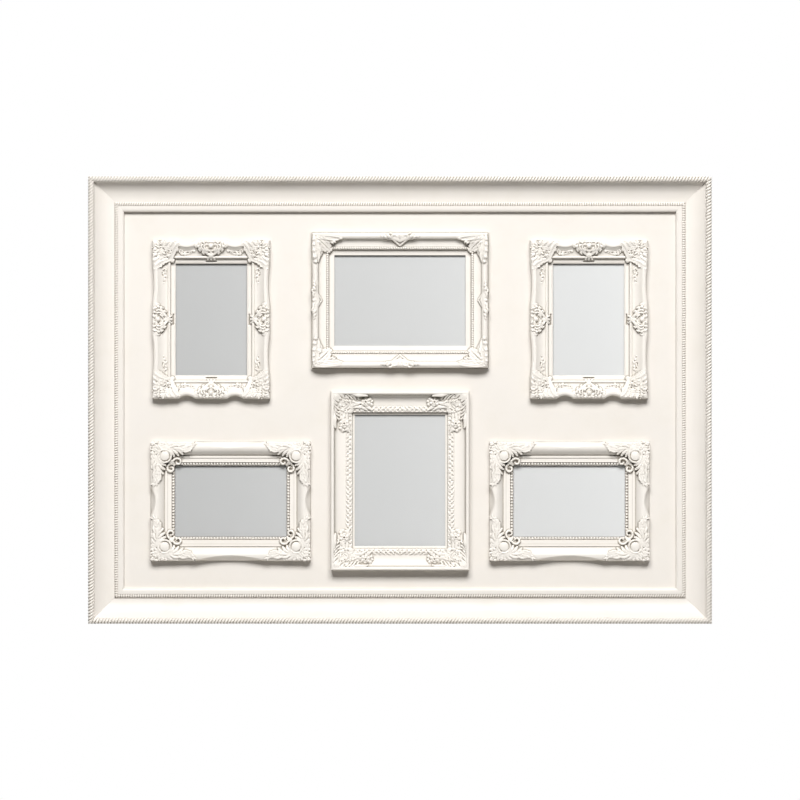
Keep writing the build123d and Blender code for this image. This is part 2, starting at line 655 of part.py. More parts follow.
def hanger_plate(x):
    """Keyhole plate let into the back of the top rail."""
    plate = slab(at(x, hanger_height, plate_outline(0) - keyhole()), 0, PLATE_THICKNESS)
    for screw_x, screw_z in hanger_screw_places(x):
        head = HANGER_SCREW_HEAD + SCREW_CLEARANCE
        radius = HANGER_SCREW_RADIUS + SCREW_CLEARANCE
        plate -= countersunk(screw_x, screw_z, 0, head, radius, PLATE_THICKNESS + CUT_MARGIN)
    return plate


def hanger_recess(x):
    """Recess for a keyhole plate, the pocket behind its keyhole, and its screw holes."""
    recess = slab(at(x, hanger_height, plate_outline(PLATE_CLEARANCE)), -CUT_MARGIN, PLATE_THICKNESS)
    pocket_width = 2 * (KEYHOLE_RADIUS + POCKET_MARGIN)
    pocket_height = KEYHOLE_SLOT_RISE + pocket_width
    pocket = Rot(0, 0, 90) * SlotOverall(pocket_height, pocket_width)
    recess += slab(at(x, hanger_height + KEYHOLE_SLOT_RISE / 2, pocket), 0, POCKET_DEPTH)
    for screw_x, screw_z in hanger_screw_places(x):
        head = HANGER_SCREW_HEAD + SCREW_CLEARANCE
        radius = HANGER_SCREW_RADIUS + SCREW_CLEARANCE
        recess += countersunk(screw_x, screw_z, 0, head, radius, HANGER_SCREW_LENGTH)
    return recess


def save(node, *solids):
    """Write one piece, or one group of like pieces, at its place below the hanging line."""
    shape = solids[0] if len(solids) == 1 else Compound(list(solids))
    export_step(Pos(0, 0, -hanger_height) * shape, f"parts/{node}.step")


MOULDINGS = {
    "swept": (swept_section, SWEPT_BORDER),
    "beaded": (beaded_section, BEADED_BORDER),
    "rosette": (rosette_section, ROSETTE_BORDER),
    "foliage": (foliage_section, FOLIAGE_BORDER),
}

os.makedirs("parts", exist_ok=True)

# Surround
hanger_x = [-hanger_reach, hanger_reach]
rails = surround(rail_section(), frame_width, frame_height, RAIL_WIDTH)
for x in hanger_x:
    rails["top"] -= hanger_recess(x)
slots = corner_nails(DRIVEN_CLEARANCE) + panel_points(DRIVEN_CLEARANCE)
for side, rail in rails.items():
    save(f"{side}_rail", rail - slots)
save("corner_nails", *corner_nails(0))

# Panel and what holds it
save("panel", panel())
save("panel_points", *panel_points(0))

# Cast frames, each with its glass, insert card and backing board
for place, (x, z, photo, kind) in FRAMES.items():
    save(f"cast_frame_{place}", Pos(x, 0, z) * casting(kind, photo))
    sheet = at(x, z, Rectangle(*photo))
    card_front = panel_front - GLASS_THICKNESS
    save(f"glass_{place}", slab(sheet, card_front, panel_front))
    save(f"insert_card_{place}", slab(sheet, card_front - CARD_THICKNESS, card_front))
    save(f"backing_board_{place}", slab(sheet, PANEL_RECESS, PANEL_RECESS + board_thickness))
casting_screw_length = PANEL_THICKNESS + CASTING_SCREW_GRIP
save(
    "cast_frame_screws",
    *[
        flat_screw(x, z, PANEL_RECESS, CASTING_SCREW_HEAD, CASTING_SCREW_RADIUS, casting_screw_length)
        for x, z in all_casting_screw_places()
    ],
)

# Turn buttons
for place, side, x, z, angle in all_button_places():
    save(f"turn_button_{place}_{side}", turn_button(x, z, angle))
save("turn_button_screws", *[button_screw(x, z) for place, side, x, z, angle in all_button_places()])

# Hanging hardware
for side, x in zip(("left", "right"), hanger_x):
    save(f"keyhole_plate_{side}", hanger_plate(x))
save(
    "keyhole_plate_screws",
    *[
        flat_screw(screw_x, screw_z, 0, HANGER_SCREW_HEAD, HANGER_SCREW_RADIUS, HANGER_SCREW_LENGTH)
        for x in hanger_x
        for screw_x, screw_z in hanger_screw_places(x)
    ],
)
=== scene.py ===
import math

import bpy
import numpy as np
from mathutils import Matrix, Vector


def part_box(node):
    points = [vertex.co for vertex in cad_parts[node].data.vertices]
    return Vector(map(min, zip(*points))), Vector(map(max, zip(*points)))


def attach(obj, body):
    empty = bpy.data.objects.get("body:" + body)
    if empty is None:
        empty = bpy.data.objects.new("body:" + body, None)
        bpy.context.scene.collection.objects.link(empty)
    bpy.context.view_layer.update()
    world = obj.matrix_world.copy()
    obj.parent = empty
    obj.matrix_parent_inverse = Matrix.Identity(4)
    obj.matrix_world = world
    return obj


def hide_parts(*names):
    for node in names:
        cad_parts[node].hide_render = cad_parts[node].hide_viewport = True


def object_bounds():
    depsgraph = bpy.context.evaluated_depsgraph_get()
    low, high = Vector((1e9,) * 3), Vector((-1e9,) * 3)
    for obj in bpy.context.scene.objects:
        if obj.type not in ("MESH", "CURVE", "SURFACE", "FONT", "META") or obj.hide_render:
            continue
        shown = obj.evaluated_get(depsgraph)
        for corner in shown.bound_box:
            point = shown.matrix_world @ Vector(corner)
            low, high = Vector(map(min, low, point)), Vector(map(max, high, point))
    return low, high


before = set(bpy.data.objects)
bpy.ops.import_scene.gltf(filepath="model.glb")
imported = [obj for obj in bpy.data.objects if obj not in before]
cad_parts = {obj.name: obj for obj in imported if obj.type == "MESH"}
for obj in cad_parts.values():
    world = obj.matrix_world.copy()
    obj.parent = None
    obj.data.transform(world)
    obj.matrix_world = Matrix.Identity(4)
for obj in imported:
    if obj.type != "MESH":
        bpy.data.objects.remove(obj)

bl_info = {
    "name": "Collage Photo Frame",
    "version": (1, 0, 0),
    "blender": (4, 5, 0),
    "location": "3D View > Sidebar > Collage Frame",
    "description": "Rope-edged surround, painted panel and six carved cast frames with glazing and hardware",
    "category": "Add Mesh",
}

# Shapes are worked out in millimetres and stored in metres. The front faces -Y and the wall is y = 0.
MM = 0.001
CAD_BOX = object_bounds()
MIDDLE_X = (CAD_BOX[0].x + CAD_BOX[1].x) / 2 / MM
MIDDLE_Z = (CAD_BOX[0].z + CAD_BOX[1].z) / 2 / MM
PANEL_FRONT = -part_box("panel")[0].y / MM
PLACES = ("top_left", "top_centre", "top_right", "bottom_left", "bottom_centre", "bottom_right")
RAIL_TURNS = {"bottom_rail": 0, "right_rail": 1, "top_rail": 2, "left_rail": 3}


def length_property(name, description, default):
    """Length that a user can change, in metres."""
    return bpy.props.FloatProperty(
        name=name, description=description, default=default, unit="LENGTH", precision=5)


def share_property(name, description, default):
    """Share of a radius that a user can change."""
    return bpy.props.FloatProperty(
        name=name, description=description, default=default, subtype="FACTOR", min=0.0, max=0.8)


def power_property(name, description, default):
    """Power of a light that a user can change, in watts."""
    return bpy.props.FloatProperty(name=name, description=description, default=default, unit="POWER")


def colour_property(name, description, default):
    """Colour that a user can change, in linear light."""
    return bpy.props.FloatVectorProperty(
        name=name, description=description, default=default, subtype="COLOR", size=3, min=0.0, max=1.0)


class SurroundSizes(bpy.types.PropertyGroup):
    """Sizes of the rope and the small bead that run round the surround."""

    rope_pitch: length_property("Rope pitch", "Distance from one strand of the rope to the next", 4.1 * MM)
    rope_groove: share_property("Rope groove", "Depth of the rope's grooves, as a share of its radius", 0.36)
    bead_pitch: length_property("Bead pitch", "Distance from one strand of the bead to the next", 3.12 * MM)
    bead_groove: share_property("Bead groove", "Depth of the bead's grooves, as a share of its radius", 0.4)
    mitre_gap: length_property("Mitre gap", "Hairline left between two rails at a mitre", 0.08 * MM)


class CastingSizes(bpy.types.PropertyGroup):
    """Sizes of the relief on the cast frames."""

    cell: length_property("Carving cell", "Grid step of the carved surfaces", 0.5 * MM)
    plain_cell: length_property("Plain cell", "Grid step along stretches with no carving", 1.6 * MM)
    fine_pearl_pitch: length_property(
        "Fine pearl pitch", "Distance between the pearls of the beaded frame", 3.0 * MM)
    pearl_pitch: length_property("Pearl pitch", "Distance between the pearls of rosette frames", 3.84 * MM)
    band_pitch: length_property("Leaf band pitch", "Distance between leaves of the running band", 6.2 * MM)


class FinishColours(bpy.types.PropertyGroup):
    """Colours of the finishes."""

    paint: colour_property("Paint", "Antique cream paint of the surround and panel", (0.712, 0.674, 0.627))
    # Painted light: the cast frames get the surround's cream made lighter, to offset the shade on their
    # curved faces.
    lightened_casting_paint: colour_property("Casting paint", "Whiter cream of the cast frames", (0.755, 0.717, 0.667))
    # Painted shade: this brown darkens the recesses of the carving and the ropes. Part of it is a glaze and
    # part is painted shade.
    glaze_and_shade: colour_property("Glaze And Shade", "Thin brown glaze left in the recesses", (0.2, 0.17, 0.12))
    # Painted reflection: the cards are painted lighter from the left of the frame to the right.
    card_left_painted_dim: colour_property("Card, left", "Grey of the insert cards at the left", (0.445, 0.445, 0.445))
    card_right_painted_bright: colour_property("Card, right", "Grey of the insert cards at the right", (0.64, 0.64, 0.64))
    hardboard: colour_property("Hardboard", "Brown of the backing boards", (0.17, 0.092, 0.043))
    fibreboard: colour_property("Fibreboard", "Raw back of the panel", (0.36, 0.25, 0.15))
    bare_wood: colour_property("Bare wood", "Unpainted back of the rails", (0.53, 0.38, 0.22))
    brass: colour_property("Brass", "Turn buttons and their screws", (0.68, 0.47, 0.19))
    zinc: colour_property("Zinc", "Plated steel of nails, points, screws and plates", (0.56, 0.57, 0.58))
    floor: colour_property("Floor", "Pale studio floor", (0.66, 0.65, 0.63))


class StageSettings(bpy.types.PropertyGroup):
    """Camera and lights of the studio."""

    lens: bpy.props.FloatProperty(
        name="Lens", description="Focal length of the camera in millimetres",
        default=160.0, min=20.0, max=400.0)
    picture_width: length_property("Picture width", "Width of the picture at the surround's front", 1.0438)
    key_angle: bpy.props.FloatProperty(
        name="Key light angle", description="Height of the key light above the line square to the panel",
        default=math.radians(37.0), subtype="ANGLE")
    light_distance: length_property("Light distance", "Distance of every light from the panel", 5.0)
    key_size: length_property("Key light size", "Height of the key light's soft box", 1.7)
    key_power: power_property("Key light power", "Power of the key light", 372.0)
    top_power: power_property("Top light power", "Power of the broad soft light over the frame", 30.0)
    back_power: power_property("Back light power", "Power of the broad soft light behind the frame", 130.0)
    side_power: power_property(
        "Side light power", "Power of each soft light behind one side of the frame", 170.0)
    fill: bpy.props.FloatProperty(
        name="Fill", description="Strength of the even light from all round", default=0.022, min=0.0, max=5.0)
    floor_drop: length_property("Floor drop", "Height of the frame's lowest edge above the floor", 1.4)


# Mesh making

SMOOTH_ANGLE = math.radians(40)


def signed_volume(points, faces):
    """Volume inside a closed shell: the boxes that its triangles' corners span, summed and divided by six."""
    total = 0.0
    for face in faces:
        first = points[face[:, 0]]
        for k in range(1, face.shape[1] - 1):
            total += np.einsum("ij,ij->", first, np.cross(points[face[:, k]], points[face[:, k + 1]]))
    return total / 6


def outward(points, faces):
    """The faces of a closed shell, turned over if they look inwards."""
    if signed_volume(points, faces) < 0:
        return [face[:, ::-1] for face in faces]
    return faces


def make_mesh(name, points, faces, smooth_angle=SMOOTH_ANGLE, **marks):
    """Mesh from points in millimetres and groups of faces, each group an array with one face to a row.

    Marks are values by point that the finish reads, such as how deep a point lies in a recess, which the
    paint darkens with glaze and painted shade.
    """
    mesh = bpy.data.meshes.new(name)
    mesh.vertices.add(len(points))
    mesh.vertices.foreach_set("co", (np.asarray(points) * MM).astype(np.float32).ravel())
    corners = np.concatenate([face.ravel() for face in faces])
    counts = np.concatenate([np.full(len(face), face.shape[1]) for face in faces])
    mesh.loops.add(len(corners))
    mesh.loops.foreach_set("vertex_index", corners.astype(np.int32))
    mesh.polygons.add(len(counts))
    mesh.polygons.foreach_set("loop_start", (np.cumsum(counts) - counts).astype(np.int32))
    mesh.update(calc_edges=True)
    mesh.validate()
    for mark, values in marks.items():
        attribute = mesh.attributes.new(mark, "FLOAT", "POINT")
        attribute.data.foreach_set("value", np.asarray(values, np.float32))
    mesh.polygons.foreach_set("use_smooth", np.ones(len(mesh.polygons), bool))
    mesh.set_sharp_from_angle(angle=smooth_angle)
    return mesh


def add_piece(name, mesh, replaces=()):
    """Object for a finished mesh, riding on the frame's body, in place of the solids it stands for."""
    piece = bpy.data.objects.new(name, mesh)
    bpy.context.scene.collection.objects.link(piece)
    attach(piece, "frame")
    if replaces:
        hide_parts(*replaces)
    return piece


def grid_quads(rows, columns, wrap):
    """Quads of a grid of points stored row by row; with wrap the last column joins the first."""
    row = np.arange(rows - 1)[:, None]
    column = np.arange(columns if wrap else columns - 1)[None, :]
    after = (column + 1) % columns
    below, above = row * columns, (row + 1) * columns
    corners = [below + column, below + after, above + after, above + column]
    return np.stack([corner.ravel() for corner in np.broadcast_arrays(*corners)], axis=1)


# Surround: insets from its outer edge and distances from the wall

HALF_WIDTH = (CAD_BOX[1].x - CAD_BOX[0].x) / 2 / MM
HALF_HEIGHT = (CAD_BOX[1].z - CAD_BOX[0].z) / 2 / MM
RAIL_WIDTH = 46.0
RAIL_DEPTH = -CAD_BOX[0].y / MM
ROPE_RADIUS = 4.4
ROPE_TUBE = 4.0
ROPE_OVERHANG = 0.8
ROPE_STRANDS = 3
BEAD_STRANDS = 1
STATIONS_PER_STRAND = 10
POINTS_ROUND_ROPE = 20
STRAND_FULLNESS = 0.6
# Painted shade in the rope grooves: the share of a strand below which they darken, and how the darkening
# grows towards the outer side
GLAZE_AND_SHADE_BELOW = 0.75
SHADE_ON_TOP = 1.9
SHADE_TURN = 1.3
COVE_TOP = 29.6
COVE_FLOOR = 18.5
COVE_START = 8.0
COVE_END = 33.2
BEAD_RADIUS = 3.0
BEAD_RISE = 0.4
LIP_START = 38.4
LIP_FLAT = 3.0
LIP_TOP = 21.9
LIP_EDGE = 19.5
REBATE_WALL = 37.0
KEYHOLE_POCKET = (14.0, 22.0, 12.0)
KEYHOLE_POCKET_RISE = 4.0
PLATE_CLEARANCE = 0.15
CUT_OVERRUN = 1.0
SLOT_POINTS = 48
FLAT_NORMAL = 0.9
# Strength of the glaze and painted shade in the recesses of the rails, ropes and beads
MOULDING_GLAZE_AND_SHADE = 1.0


def quarter(start, end, steps=14):
    """Quarter ellipse between two points that starts level and ends steep."""
    turn = np.linspace(0, math.pi / 2, steps)
    across, up = np.sin(turn), 1 - np.cos(turn)
    return np.stack([start[0] + (end[0] - start[0]) * across, start[1] + (end[1] - start[1]) * up], axis=1)


def cove(start, end, steps=32):
    """Circular arc between two points that ends level."""
    run, drop = end[0] - start[0], start[1] - end[1]
    radius = (run**2 + drop**2) / (2 * drop)
    turn = np.linspace(-math.asin(run / radius), 0, steps)
    return np.stack([end[0] + radius * np.sin(turn), end[1] + radius * (1 - np.cos(turn))], axis=1)


def rail_outline():
    """Section of a rail without its rope and bead, as insets and distances from the wall."""
    rope_centre = RAIL_DEPTH - ROPE_RADIUS
    rope_inside = 2 * ROPE_RADIUS - ROPE_OVERHANG
    return np.vstack([
        [(ROPE_OVERHANG, 0), (ROPE_OVERHANG, rope_centre), (rope_inside, rope_centre)],
        cove((COVE_START, COVE_TOP), (COVE_END, COVE_FLOOR)),
        [(LIP_START, COVE_FLOOR), (LIP_START, LIP_TOP)],
        quarter((LIP_START + LIP_FLAT, LIP_TOP), (RAIL_WIDTH, LIP_EDGE)),
        [(RAIL_WIDTH, PANEL_FRONT), (REBATE_WALL, PANEL_FRONT), (REBATE_WALL, 0)],
    ])


def rail_points(turn, along, inset, depth):
    """Points of a rail, given as for the bottom rail and carried to their side by quarter turns."""
    reach = HALF_HEIGHT if turn % 2 == 0 else HALF_WIDTH
    angle = turn * math.pi / 2
    across = inset - reach
    x = MIDDLE_X + along * math.cos(angle) - across * math.sin(angle)
    z = MIDDLE_Z + along * math.sin(angle) + across * math.cos(angle)
    return np.stack(np.broadcast_arrays(x, -depth, z), axis=-1)


def rail_half_length(turn, gap):
    """Half the outer length of a rail, less the hairline at its mitre."""
    return (HALF_WIDTH if turn % 2 == 0 else HALF_HEIGHT) - gap


def moulding_mesh(name, turn, gap):
    """Rail body: its section carried between two mitre planes, where a point's run shortens by its inset."""
    outline = rail_outline()
    inset, depth = outline[:, 0], outline[:, 1]
    half = rail_half_length(turn, gap) - inset
    points = np.vstack([rail_points(turn, -half, inset, depth), rail_points(turn, half, inset, depth)])
    count = len(outline)
    ends = np.arange(count)
    faces = outward(points, [grid_quads(2, count, True), ends[None, ::-1], (ends + count)[None, :]])
    return make_mesh(name, points, faces, recess=np.zeros(2 * count), crest=np.zeros(2 * count))


def rope_mesh(name, turn, gap, centre, radius, pitch, groove, strands):
    """Twisted rope: a tube whose radius dips where its phase is whole.

    The phase is the run along the rail in pitches plus the strands times the angle in turns. The ends lie on
    the mitre planes, because the run of each point shortens by its own inset. Glaze with painted shade fills
    the grooves below a share of the strand, and the painted shade thickens towards the rope's outer side as
    the cosine of the angle falls. The strands are marked as crests for a painted highlight.
    """
    half = rail_half_length(turn, gap)
    stations = int(2 * half / pitch * STATIONS_PER_STRAND)
    share = np.linspace(-1, 1, stations)[:, None]
    angle = np.linspace(0, 2 * math.pi, POINTS_ROUND_ROPE, endpoint=False)[None, :]
    nominal = share * (half - centre[0] - radius * np.cos(angle))
    strand = np.abs(np.sin(math.pi * nominal / pitch + strands * angle / 2)) ** STRAND_FULLNESS
    reach = radius * (1 - groove * (1 - strand))
    inset = centre[0] + reach * np.cos(angle)
    points = rail_points(turn, share * (half - inset), inset, centre[1] + reach * np.sin(angle))
    count = angle.shape[1]
    first = np.arange(count)
    last = first + (stations - 1) * count
    faces = [grid_quads(stations, count, True), first[None, ::-1], last[None, :]]
    points = points.reshape(-1, 3)
    # Painted shade: grooves darken more towards the rope's outer side, where its shadow side lies
    painted_shade_weight = np.clip(SHADE_ON_TOP - SHADE_TURN * np.cos(angle), 0, None)
    recess = np.clip(1 - strand / GLAZE_AND_SHADE_BELOW, 0, None) * painted_shade_weight
    return make_mesh(name, points, outward(points, faces), recess=recess.ravel(), crest=strand.ravel())


def slot_prism(centre_x, centre_z, length, width, upright, back, front):
    """Closed prism between two depths, whose outline is two half circles joined by straight sides."""
    turn = np.linspace(0, 2 * math.pi, SLOT_POINTS, endpoint=False)
    run = (length - width) / 2 * np.where(np.cos(turn) >= 0, 1, -1)
    long_side, short_side = run + width / 2 * np.cos(turn), width / 2 * np.sin(turn)
    across, up = (short_side, long_side) if upright else (long_side, short_side)
    ring = np.stack([centre_x + across, np.zeros_like(turn), centre_z + up], axis=1)
    points = np.vstack([ring - (0, back, 0), ring - (0, front, 0)])
    first = np.arange(len(turn))
    faces = [grid_quads(2, len(turn), True), first[None, ::-1], (first + len(turn))[None, :]]
    return points, outward(points, faces)


def cut_keyhole_recess(rail, side, material):
    """Let one keyhole plate and the pocket behind its keyhole into the back of the top rail."""
    low, high = (np.array(corner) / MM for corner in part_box(f"keyhole_plate_{side}"))
    middle = (low + high) / 2
    size = high - low + 2 * PLATE_CLEARANCE
    width, height, depth = KEYHOLE_POCKET
    shapes = [
        slot_prism(middle[0], middle[2], size[0], size[2], False, -CUT_OVERRUN, -low[1]),
        slot_prism(middle[0], KEYHOLE_POCKET_RISE, height, width, True, -2 * CUT_OVERRUN, depth),
    ]
    for points, faces in shapes:
        cutter = bpy.data.objects.new("recess_cutter", make_mesh("recess_cutter", points, faces))
        cutter.data.materials.append(material)
        bpy.context.scene.collection.objects.link(cutter)
        cut = rail.modifiers.new("recess", "BOOLEAN")
        cut.operation = "DIFFERENCE"
        cut.solver = "EXACT"
        cut.material_mode = "TRANSFER"
        cut.object = cutter
        shaped = rail.evaluated_get(bpy.context.evaluated_depsgraph_get())
        old = rail.data
        rail.data = bpy.data.meshes.new_from_object(shaped)
        rail.modifiers.clear()
        bpy.data.objects.remove(cutter)
        bpy.data.meshes.remove(old)


def mark_bare_back(mesh, paint, wood):
    """Paint on the front of a rail and bare wood on its back and in its rebate."""
    mesh.materials.append(paint)
    mesh.materials.append(wood)
    centres, normals = np.empty((2, 3 * len(mesh.polygons)))
    mesh.polygons.foreach_get("center", centres)
    mesh.polygons.foreach_get("normal", normals)
    behind = (centres[1::3] > -PANEL_FRONT * MM) & (np.abs(normals[1::3]) > FLAT_NORMAL)
    mesh.polygons.foreach_set("material_index", behind.astype(np.int32))


# Cast frames: insets from their outer edges and heights above the panel

STEP_WIDTH = 0.04
PEARL_CLEARANCE = 0.1
PEARL_SINK = 0.6
PEARL_POINTS = 10
PEARL_RINGS = (-38, -10, 20, 48, 74)
PEARL_SHADE = 1.6
EYE_RADIUS = 0.65
EYE_DEPTH = 2.2
EYE_SPREAD = 0.9
EYE_RUN = 0.1
VEIN_WIDTH = 0.22
SPRIG_SPREAD = 0.8
SPRIG_SCALES = (0.75, 1.25)
SPRIG_BEND = 0.18
SPRIG_FALL = 0.9
SPRIG_TURN = 0.15
SPRIG_BASE = (0.6, 0.3)
SPRIG_TIP = (0.4, 0.8)
RING_POINTS = 14
GROOVE_REACH = 2.5
FAN_WAVES = ((0.05, 0.9, 0.5), (0.04, -0.7, 1.3))
FAN_EDGE = (0.87, 0.13)
FAN_RIPPLE = 4.4
FAN_SWIRL = 5
FAN_CROSSING = (1.1, 0.4)
SCALLOP_FADE = 18
RELIEF_PASSES = 7
RELIEF_SPAN = 0.8
# Strength of the glaze and painted shade in the recesses of the cast frames
CASTING_GLAZE_AND_SHADE = 0.68
CASTING_SMOOTH_ANGLE = math.radians(55)
WHOLE = np.s_[:, :]


def moulding_height(inset, runs, beads):
    """Height of a cast moulding at each inset from its outer edge.

    A run goes from one inset and height to another as a line, as a quarter ellipse that is steep first, as a
    bow that grows as the square or as a cove, its opposite. Beads are half ellipses: middle, foot, half width
    and rise.
    """
    height = np.full(inset.shape, float(runs[0][2]))
    for shape, start, low, end, high in runs:
        share = np.clip((inset - start) / (end - start), 0, 1)
        if shape == "steep_first":
            share = np.sqrt(1 - (1 - share) ** 2)
        elif shape == "bow":
            share = share**2
        elif shape == "cove":
            share = 1 - (1 - share) ** 2
        height = np.where(inset > start, low + (high - low) * share, height)
    for middle, foot, half_width, rise in beads:
        near = np.clip(1 - ((inset - middle) / half_width) ** 2, 0, None)
        height = np.where(near > 0, np.maximum(height, foot + rise * np.sqrt(near)), height)
    return height


def edge_arch(run, start, end, depth):
    """Shallow scallop between two places along an edge, as a parabola of the given depth."""
    share = (run - (start + end) / 2) / ((end - start) / 2)
    return depth * np.clip(1 - share**2, 0, None)


def smooth_line(points, steps=7):
    """Smooth curve through points: it leaves each point along the line that joins its two neighbours."""
    points = np.asarray(points, float)
    padded = np.vstack([2 * points[0] - points[1], points, 2 * points[-1] - points[-2]])
    before, start, end, after = (padded[k:len(padded) - 3 + k, None] for k in range(4))
    t = np.linspace(0, 1, steps, endpoint=False)[None, :, None]
    line = start + 0.5 * t * (end - before + t * (
        2 * before - 5 * start + 4 * end - after + t * (3 * (start - end) + after - before)))
    return np.vstack([line.reshape(-1, points.shape[1]), points[-1]])


def swapped(stroke):
    """The same stroke on the other side of a corner's diagonal."""
    return [(b, a, *rest) for a, b, *rest in stroke]


class Carving:
    """Height field of one corner quarter of a cast frame, in millimetres above the panel.

    Its points are the insets from the left edge crossed with the insets from the top edge.
    """

    def __init__(self, across, down, height, half):
        self.across, self.down, self.height, self.half = across, down, height, half

    def window(self, low, high):
        """Slices of the grid between two corners."""
        i = np.searchsorted(self.across, (low[0], high[0]))
        j = np.searchsorted(self.down, (low[1], high[1]))
        return np.s_[i[0]:i[1], j[0]:j[1]]

    def distances(self, window, line):
        """Distance of each grid point from a line of points, and the line's other values nearest to it."""
        a = self.across[window[0]][:, None, None] - line[:-1, 0]
        b = self.down[window[1]][None, :, None] - line[:-1, 1]
        step = np.diff(line, axis=0)
        length = np.maximum(step[:, 0] ** 2 + step[:, 1] ** 2, 1e-9)
        share = np.clip((a * step[:, 0] + b * step[:, 1]) / length, 0, 1)
        apart = np.hypot(a - share * step[:, 0], b - share * step[:, 1])
        nearest = np.argmin(apart, axis=2)
        share = np.take_along_axis(share, nearest[:, :, None], 2)
        values = line[nearest, 2:] + share * step[nearest, 2:]
        return np.take_along_axis(apart, nearest[:, :, None], 2)[:, :, 0], values

    def disc(self, centre, radius):
        """Slices of the grid round a disc, and how far each point in them lies from its centre."""
        window = self.window(np.subtract(centre, radius), np.add(centre, radius))
        across, down = self.across[window[0]][:, None], self.down[window[1]][None, :]
        return window, np.hypot(across - centre[0], down - centre[1])

    def lay(self, window, inside, back):
        """Lay a back over the field inside its outline, wherever it stands above what is there."""
        field = self.height[window]
        self.height[window] = np.where(inside, np.maximum(field, back), field)

    def leaf(self, stroke, rise=1.7, vein=0.0):
        """Round-backed leaf along a smooth curve through points of inset, inset, half width and crest height.

        Its back falls from the crest as a circle does, by the rise at its edge, less a vein along the middle.
        """
        line = smooth_line(stroke)
        margin = line[:, 2].max()
        window = self.window(line[:, :2].min(0) - margin, line[:, :2].max(0) + margin)
        if 0 in self.height[window].shape:
            return
        apart, values = self.distances(window, line)
        share = apart / np.maximum(values[:, :, 0], 1e-6)
        back = values[:, :, 1] - rise * (1 - np.sqrt(np.clip(1 - share**2, 0, None)))
        back -= vein * np.exp(-((share / VEIN_WIDTH) ** 2))
        self.lay(window, share < 1, back)

    def leaves(self, strokes, rise=1.7, vein=0.0, both=False):
        """Several leaves, on both sides of the corner's diagonal if asked."""
        for stroke in strokes:
            self.leaf(stroke, rise, vein)
            if both:
                self.leaf(swapped(stroke), rise, vein)

    def on_end(self, strokes, rise=1.7, vein=0.0):
        """Leaves about the middle of the top, drawn as distance from the middle and inset."""
        middle = self.half[0]
        self.leaves([[(middle - u, w, *rest) for u, w, *rest in stroke] for stroke in strokes], rise, vein)

    def on_side(self, strokes, rise=1.7, vein=0.0):
        """The same leaves about the middle of the left side."""
        middle = self.half[1]
        self.leaves([[(w, middle - u, *rest) for u, w, *rest in stroke] for stroke in strokes], rise, vein)

    def dome(self, centre, radius, top, drop):
        """Round boss whose top falls by the drop at its rim, as the square of the distance."""
        window, apart = self.disc(centre, radius)
        self.lay(window, apart < radius, top - drop * (apart / radius) ** 2)

    def hollow(self, centre, radius, floor):
        """Round hole down to a floor."""
        window, apart = self.disc(centre, radius)
        field = self.height[window]
        self.height[window] = np.where(apart < radius, np.minimum(field, floor), field)

    def ring(self, centre, radius, half_width, top, rise=1.2):
        """Round-backed ring about a centre."""
        angle = np.linspace(0, 2 * math.pi, RING_POINTS)
        line = zip(centre[0] + radius * np.cos(angle), centre[1] + radius * np.sin(angle))
        self.leaf([(a, b, half_width, top) for a, b in line], rise)

    def score(self, stroke, depth):
        """Bell-shaped groove along a smooth curve through points of inset, inset and half width."""
        line = smooth_line(stroke)
        margin = GROOVE_REACH * line[:, 2].max()
        window = self.window(line[:, :2].min(0) - margin, line[:, :2].max(0) + margin)
        apart, values = self.distances(window, line)
        self.height[window] -= depth * np.exp(-((apart / values[:, :, 0]) ** 2))

    def sprigs(self, path, count, seed, length, half_width, lift, lean=0.9, eyes=0):
        """Crowd of small leaves over a leafy mass, strewn by a seeded draw along its path.

        The leaves lean outwards, and eyes are small drilled pits between them.
        """
        draw = np.random.default_rng(seed)
        line = smooth_line(path)
        last = len(line) - 1.01
        low, high = (0, -SPRIG_SPREAD, SPRIG_SCALES[0]), (last, SPRIG_SPREAD, SPRIG_SCALES[1])
        for spot, off, size in draw.uniform(low, high, (count, 3)):
            here, step = line[int(spot)], line[int(spot) + 1, :2] - line[int(spot), :2]
            step = step / np.hypot(*step)
            out = np.array([-step[1], step[0]])
            start = here[:2] + off * here[2] * out
            aim = step + lean * math.copysign(abs(off) + SPRIG_TURN, off) * out
            tip = start + size * length * aim / np.hypot(*aim)
            bend = (start + tip) / 2 + SPRIG_BEND * size * length * math.copysign(1, off) * step
            top = here[3] + lift - SPRIG_FALL * off**2
            width = size * half_width
            leaf = [
                (*start, SPRIG_BASE[0] * width, top - SPRIG_BASE[1]), (*bend, width, top),
                (*tip, SPRIG_TIP[0] * width, top - SPRIG_TIP[1]),
            ]
            self.leaf(leaf, rise=1.2, vein=0.25)
        for spot, off in draw.uniform((0, -EYE_SPREAD), (last, EYE_SPREAD), (eyes, 2)):
            here, step = line[int(spot)], line[int(spot) + 1, :2] - line[int(spot), :2]
            self.pit(here[:2] + off * here[2] * np.array([-step[1], step[0]]) / np.hypot(*step))

    def pit(self, spot):
        """Small drilled pit with a bell-shaped section."""
        self.score([(*spot, EYE_RADIUS), (spot[0] + EYE_RUN, spot[1], EYE_RADIUS)], EYE_DEPTH)

